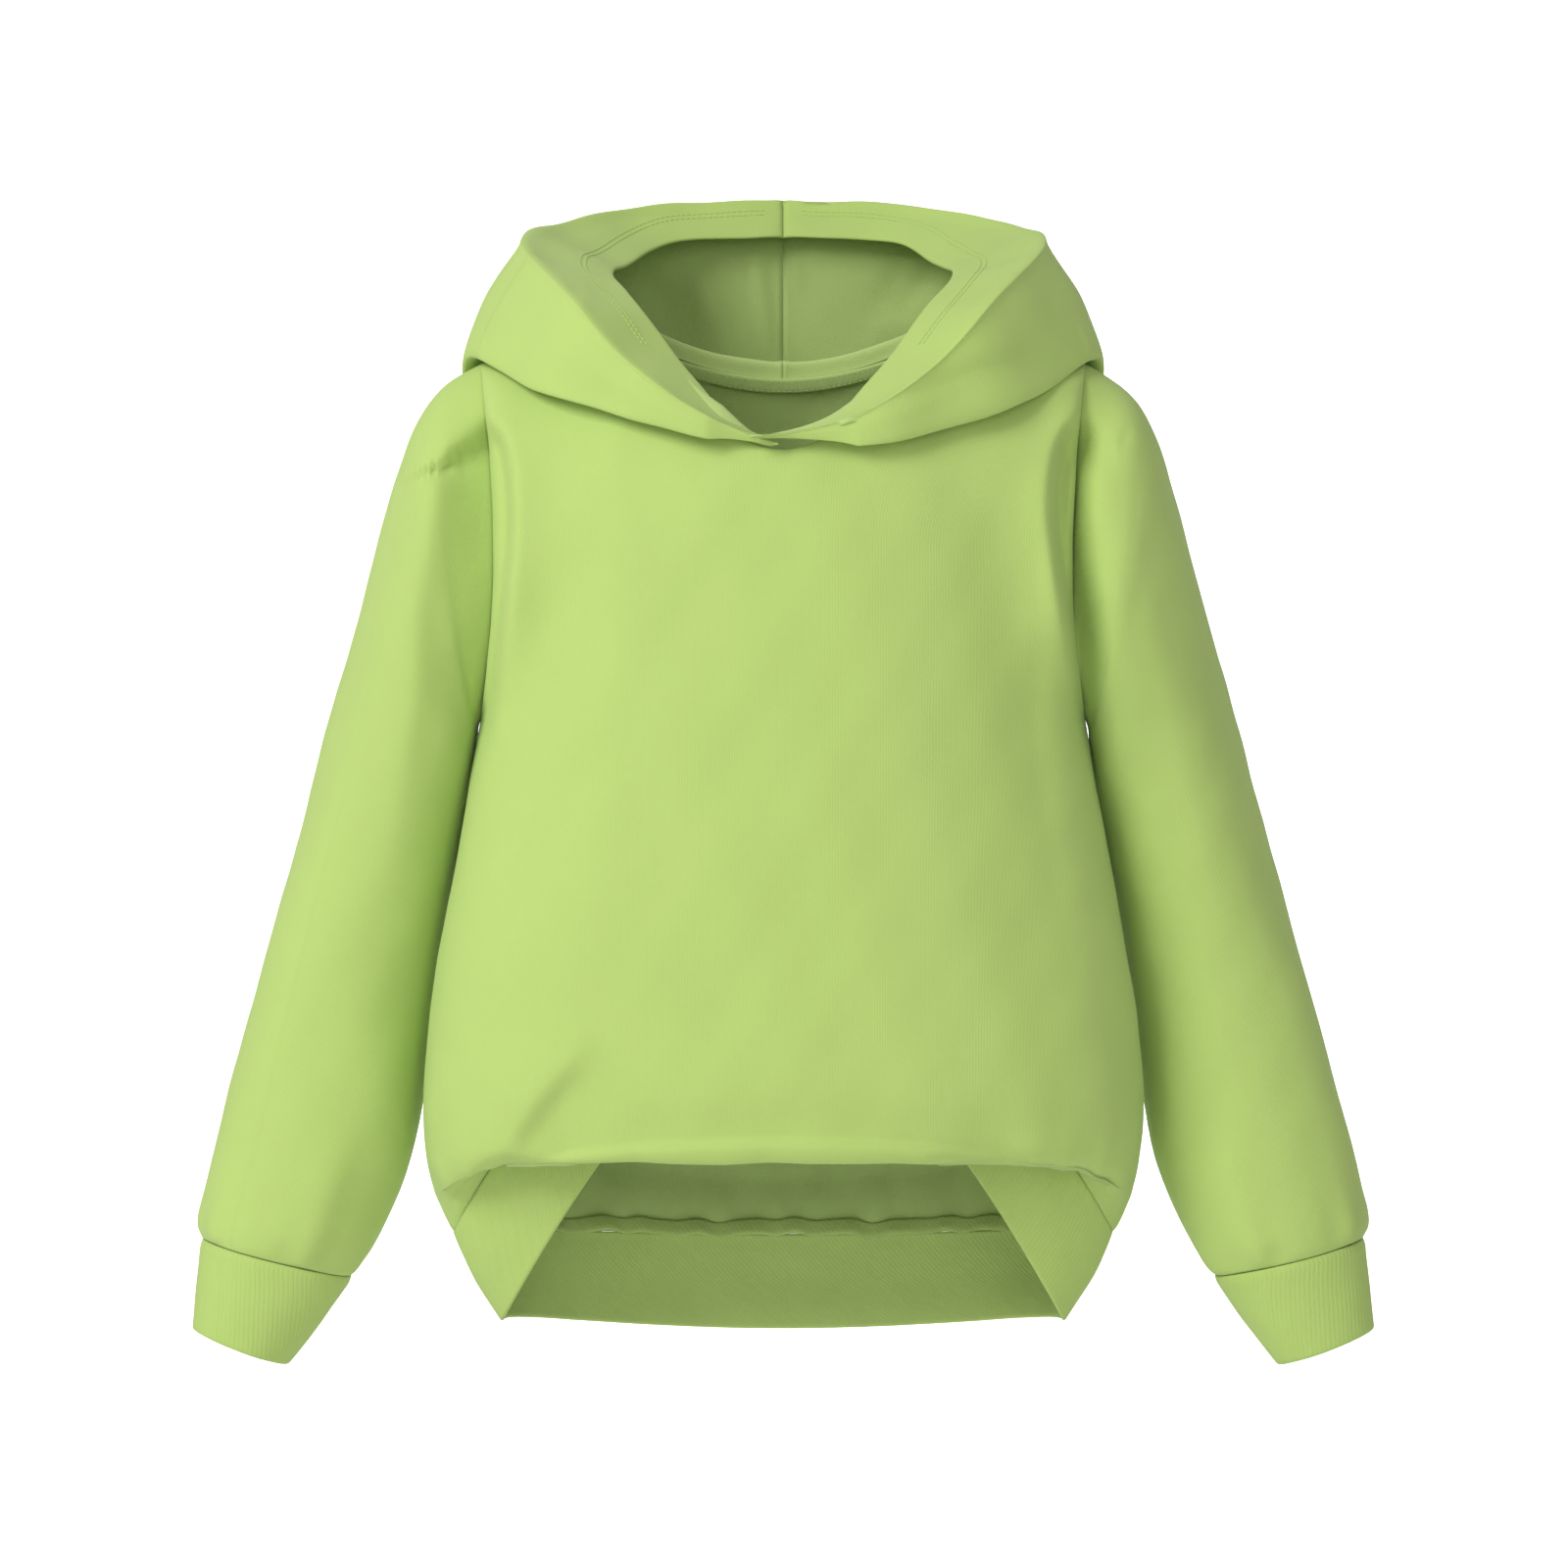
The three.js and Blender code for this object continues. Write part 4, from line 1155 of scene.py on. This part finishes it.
class HOODIE_OT_hood(bpy.types.Operator):
    """Makes the two halves of the hood with their hem stitches, and the tape along the back neck"""

    bl_idname = "hoodie.hood"
    bl_label = "Hood"

    def execute(self, context):
        cloth = cloth_settings()
        depth, reach = cloth.seam_depth / MM, cloth.seam_reach / MM
        tape = neck_tape()
        for half, mirror in (("left", 1), ("right", -1)):
            steps = 156
            rows = hood_rows(half == "left", 170, steps) * (mirror, 1, 1)
            flip = -mirror
            outward = outward_at(rows, False, flip)
            over = column_lengths(rows)
            down = row_lengths(rows)
            dip = np.maximum(dip_at(down, reach) * 0.4, dip_at(over[:, -1:] - over, reach))
            behind = smooth((rows[..., 1] - 20) / 40)
            hidden_floor = smooth((down - 60) / 40)
            push = folded(rows, HOOD_PANEL_FOLDS, "front") * (1 - behind)
            push += folded(rows, HOOD_BAG_FOLDS, "front") * behind * hidden_floor
            moved = rows.copy()
            moved[..., 1] += push
            calm = smooth(over / 20) * smooth((over[:, -1:] - over) / 14) * smooth(down / 14)
            share = np.linspace(0, 1, steps + 1)[:, None]
            rows = moved + outward * (ripple(rows) * calm - dip * depth)[..., None]
            outward = outward_at(rows, False, flip)
            square(outward[:, -1], 0)
            for _ in range(CREST_PASSES):
                outward[1:-1] = (outward[:-2] + 2 * outward[1:-1] + outward[2:]) / 4
            outward = unit(outward)
            hem = smooth((share - HOOD_HEM_START) / 0.05)
            growth = 1 + HOOD_HEM_GROWTH * hem * smooth(over / 25)
            thick = cloth.fleece_thickness / MM * HOOD_CLOTH_SHARE * growth
            piece = cloth_object(
                f"hood_{half}_cloth",
                rows,
                outward,
                thick[..., None],
                ("fleece_face", "fleece_back"),
                rounded=(False, True),
                flip=flip,
            )
            lines = []
            for back in HOOD_STITCH_BACK:
                line = at_distance(rows + outward * 0.1, down[-1] - down, back)
                lift = at_distance(outward, down[-1] - down, back)
                lines.append((line[HOOD_STITCH_FROM:-3], lift[HOOD_STITCH_FROM:-3]))
            stitches = stitch_object(
                f"hood_{half}_stitches", lines, 2.4, 3.2, 0.3, finish_material("thread")
            )
            dress(
                piece, f"hood_{half}"
            )
        return {"FINISHED"}


class HOODIE_OT_rib(bpy.types.Operator):
    """Makes the rib band at the hem and the two rib cuffs"""

    bl_idname = "hoodie.rib"
    bl_label = "Rib band and cuffs"

    def execute(self, context):
        cloth = cloth_settings()
        depth, reach = cloth.seam_depth / MM, cloth.seam_reach / MM
        trims = [("hem_band", band_rows(300, 34), -1, (0.88, 0.049), ["front", "back"], 0.4)]
        for arm, mirror in (("left", 1), ("right", -1)):
            rows = cuff_rows(140, 34) * (mirror, 1, 1)
            trims.append((f"cuff_{arm}", rows, -mirror, (0.2, 0.053), [f"sleeve_{arm}"], CUFF_DIP_SHARE))
        for node, rows, flip, flat, rests_on, share in trims:
            outward = outward_at(rows, True, flip)
            down = row_lengths(rows)
            calm = smooth(down / 10)
            swell = 0.5 * ripple(rows * 1.4) * calm - dip_at(down, reach) * depth * share
            rows = rows + outward * swell[..., None]
            piece = cloth_object(
                f"{node}_cloth",
                rows,
                outward,
                cloth.rib_thickness / MM,
                ("rib_face", "rib_inside"),
                ring=True,
                rounded=(False, True),
                flip=flip,
            )
            dress(piece, node)
        return {"FINISHED"}


class HOODIE_OT_stage(bpy.types.Operator):
    """Makes the floor and its sweep, the studio light and the camera"""

    bl_idname = "hoodie.stage"
    bl_label = "Stage"

    def execute(self, context):
        stage = context.scene.hoodie_stage
        scene = context.scene
        scene.view_settings.view_transform = "Standard"
        sweep = []
        back, bend, half = 3.4, 0.8, 4.0
        bend_steps = 12
        profile = [(-4.0, 0.0), (back - bend, 0.0)]
        for k in range(1, bend_steps + 1):
            a = math.radians(90 * k / bend_steps)
            profile.append((back - bend + bend * math.sin(a), bend - bend * math.cos(a)))
        profile.append((back, 4.0))
        for y, z in profile:
            for x in (-half, half):
                sweep.append((x, y, stage.floor_height + z))
        quads = [(2 * k, 2 * k + 1, 2 * k + 3, 2 * k + 2) for k in range(len(profile) - 1)]
        mesh = bpy.data.meshes.new("floor")
        mesh.from_pydata(sweep, [], quads)
        mesh.shade_smooth()
        floor = placed("floor", mesh)
        material, _, shader = new_material("floor_paper")
        shader.inputs["Base Color"].default_value = (*stage.floor_colour, 1)
        shader.inputs["Roughness"].default_value = 0.9
        mesh.materials.append(material)
        world = bpy.data.worlds.new("studio")
        world.use_nodes = True
        sky = world.node_tree.nodes["Background"]
        sky.inputs["Color"].default_value = (1, 1, 1, 1)
        sky.inputs["Strength"].default_value = stage.sky_strength
        scene.world = world
        for name, place, turn, size, power in (
            ("key", (-1.9, -2.0, 1.5), (58, 0, -44), 1.5, stage.key_power),
            ("fill", (0.4, -2.9, 0.5), (77, 0, 8), 1.6, stage.key_power * 0.18),
            ("backdrop", (0, 1.85, 0.4), (90, 0, 0), 3.2, stage.backdrop_power),
        ):
            light = bpy.data.lights.new(name, "AREA")
            light.energy = power
            light.size = size
            lamp = bpy.data.objects.new(name, light)
            lamp.location = place
            lamp.visible_camera = False
            lamp.rotation_euler = [math.radians(a) for a in turn]
            scene.collection.objects.link(lamp)
        camera = bpy.data.cameras.new("camera")
        camera.sensor_width = SENSOR_WIDTH
        camera.lens = CAMERA_LENS
        holder = bpy.data.objects.new("camera", camera)
        holder.location = CAMERA_PLACE
        holder.rotation_euler = (math.radians(90), 0, 0)
        scene.collection.objects.link(holder)
        scene.camera = holder
        return {"FINISHED"}


class HOODIE_PT_sidebar(bpy.types.Panel):
    """Lists the hoodie's sizes and the operators that make its pieces"""

    bl_idname = "HOODIE_PT_sidebar"
    bl_label = "Pullover hoodie"
    bl_space_type = "VIEW_3D"
    bl_region_type = "UI"
    bl_category = "Hoodie"

    def draw(self, context):
        for settings in (context.scene.hoodie_cloth, context.scene.hoodie_stage):
            for name in settings.__annotations__:
                self.layout.prop(settings, name)
        for operator in OPERATORS:
            self.layout.operator(operator.bl_idname)


OPERATORS = (
    HOODIE_OT_stage,
    HOODIE_OT_panels,
    HOODIE_OT_sleeves,
    HOODIE_OT_hood,
    HOODIE_OT_rib,
)
CLASSES = (HoodieCloth, HoodieStage, *OPERATORS, HOODIE_PT_sidebar)


def register():
    for cls in CLASSES:
        bpy.utils.register_class(cls)
    bpy.types.Scene.hoodie_cloth = bpy.props.PointerProperty(type=HoodieCloth)
    bpy.types.Scene.hoodie_stage = bpy.props.PointerProperty(type=HoodieStage)


def unregister():
    del bpy.types.Scene.hoodie_cloth
    del bpy.types.Scene.hoodie_stage
    for cls in reversed(CLASSES):
        bpy.utils.unregister_class(cls)


def main():
    register()
    bpy.ops.hoodie.stage()
    bpy.ops.hoodie.panels()
    bpy.ops.hoodie.sleeves()
    bpy.ops.hoodie.hood()
    bpy.ops.hoodie.rib()


if __name__ == "__main__":
    main()
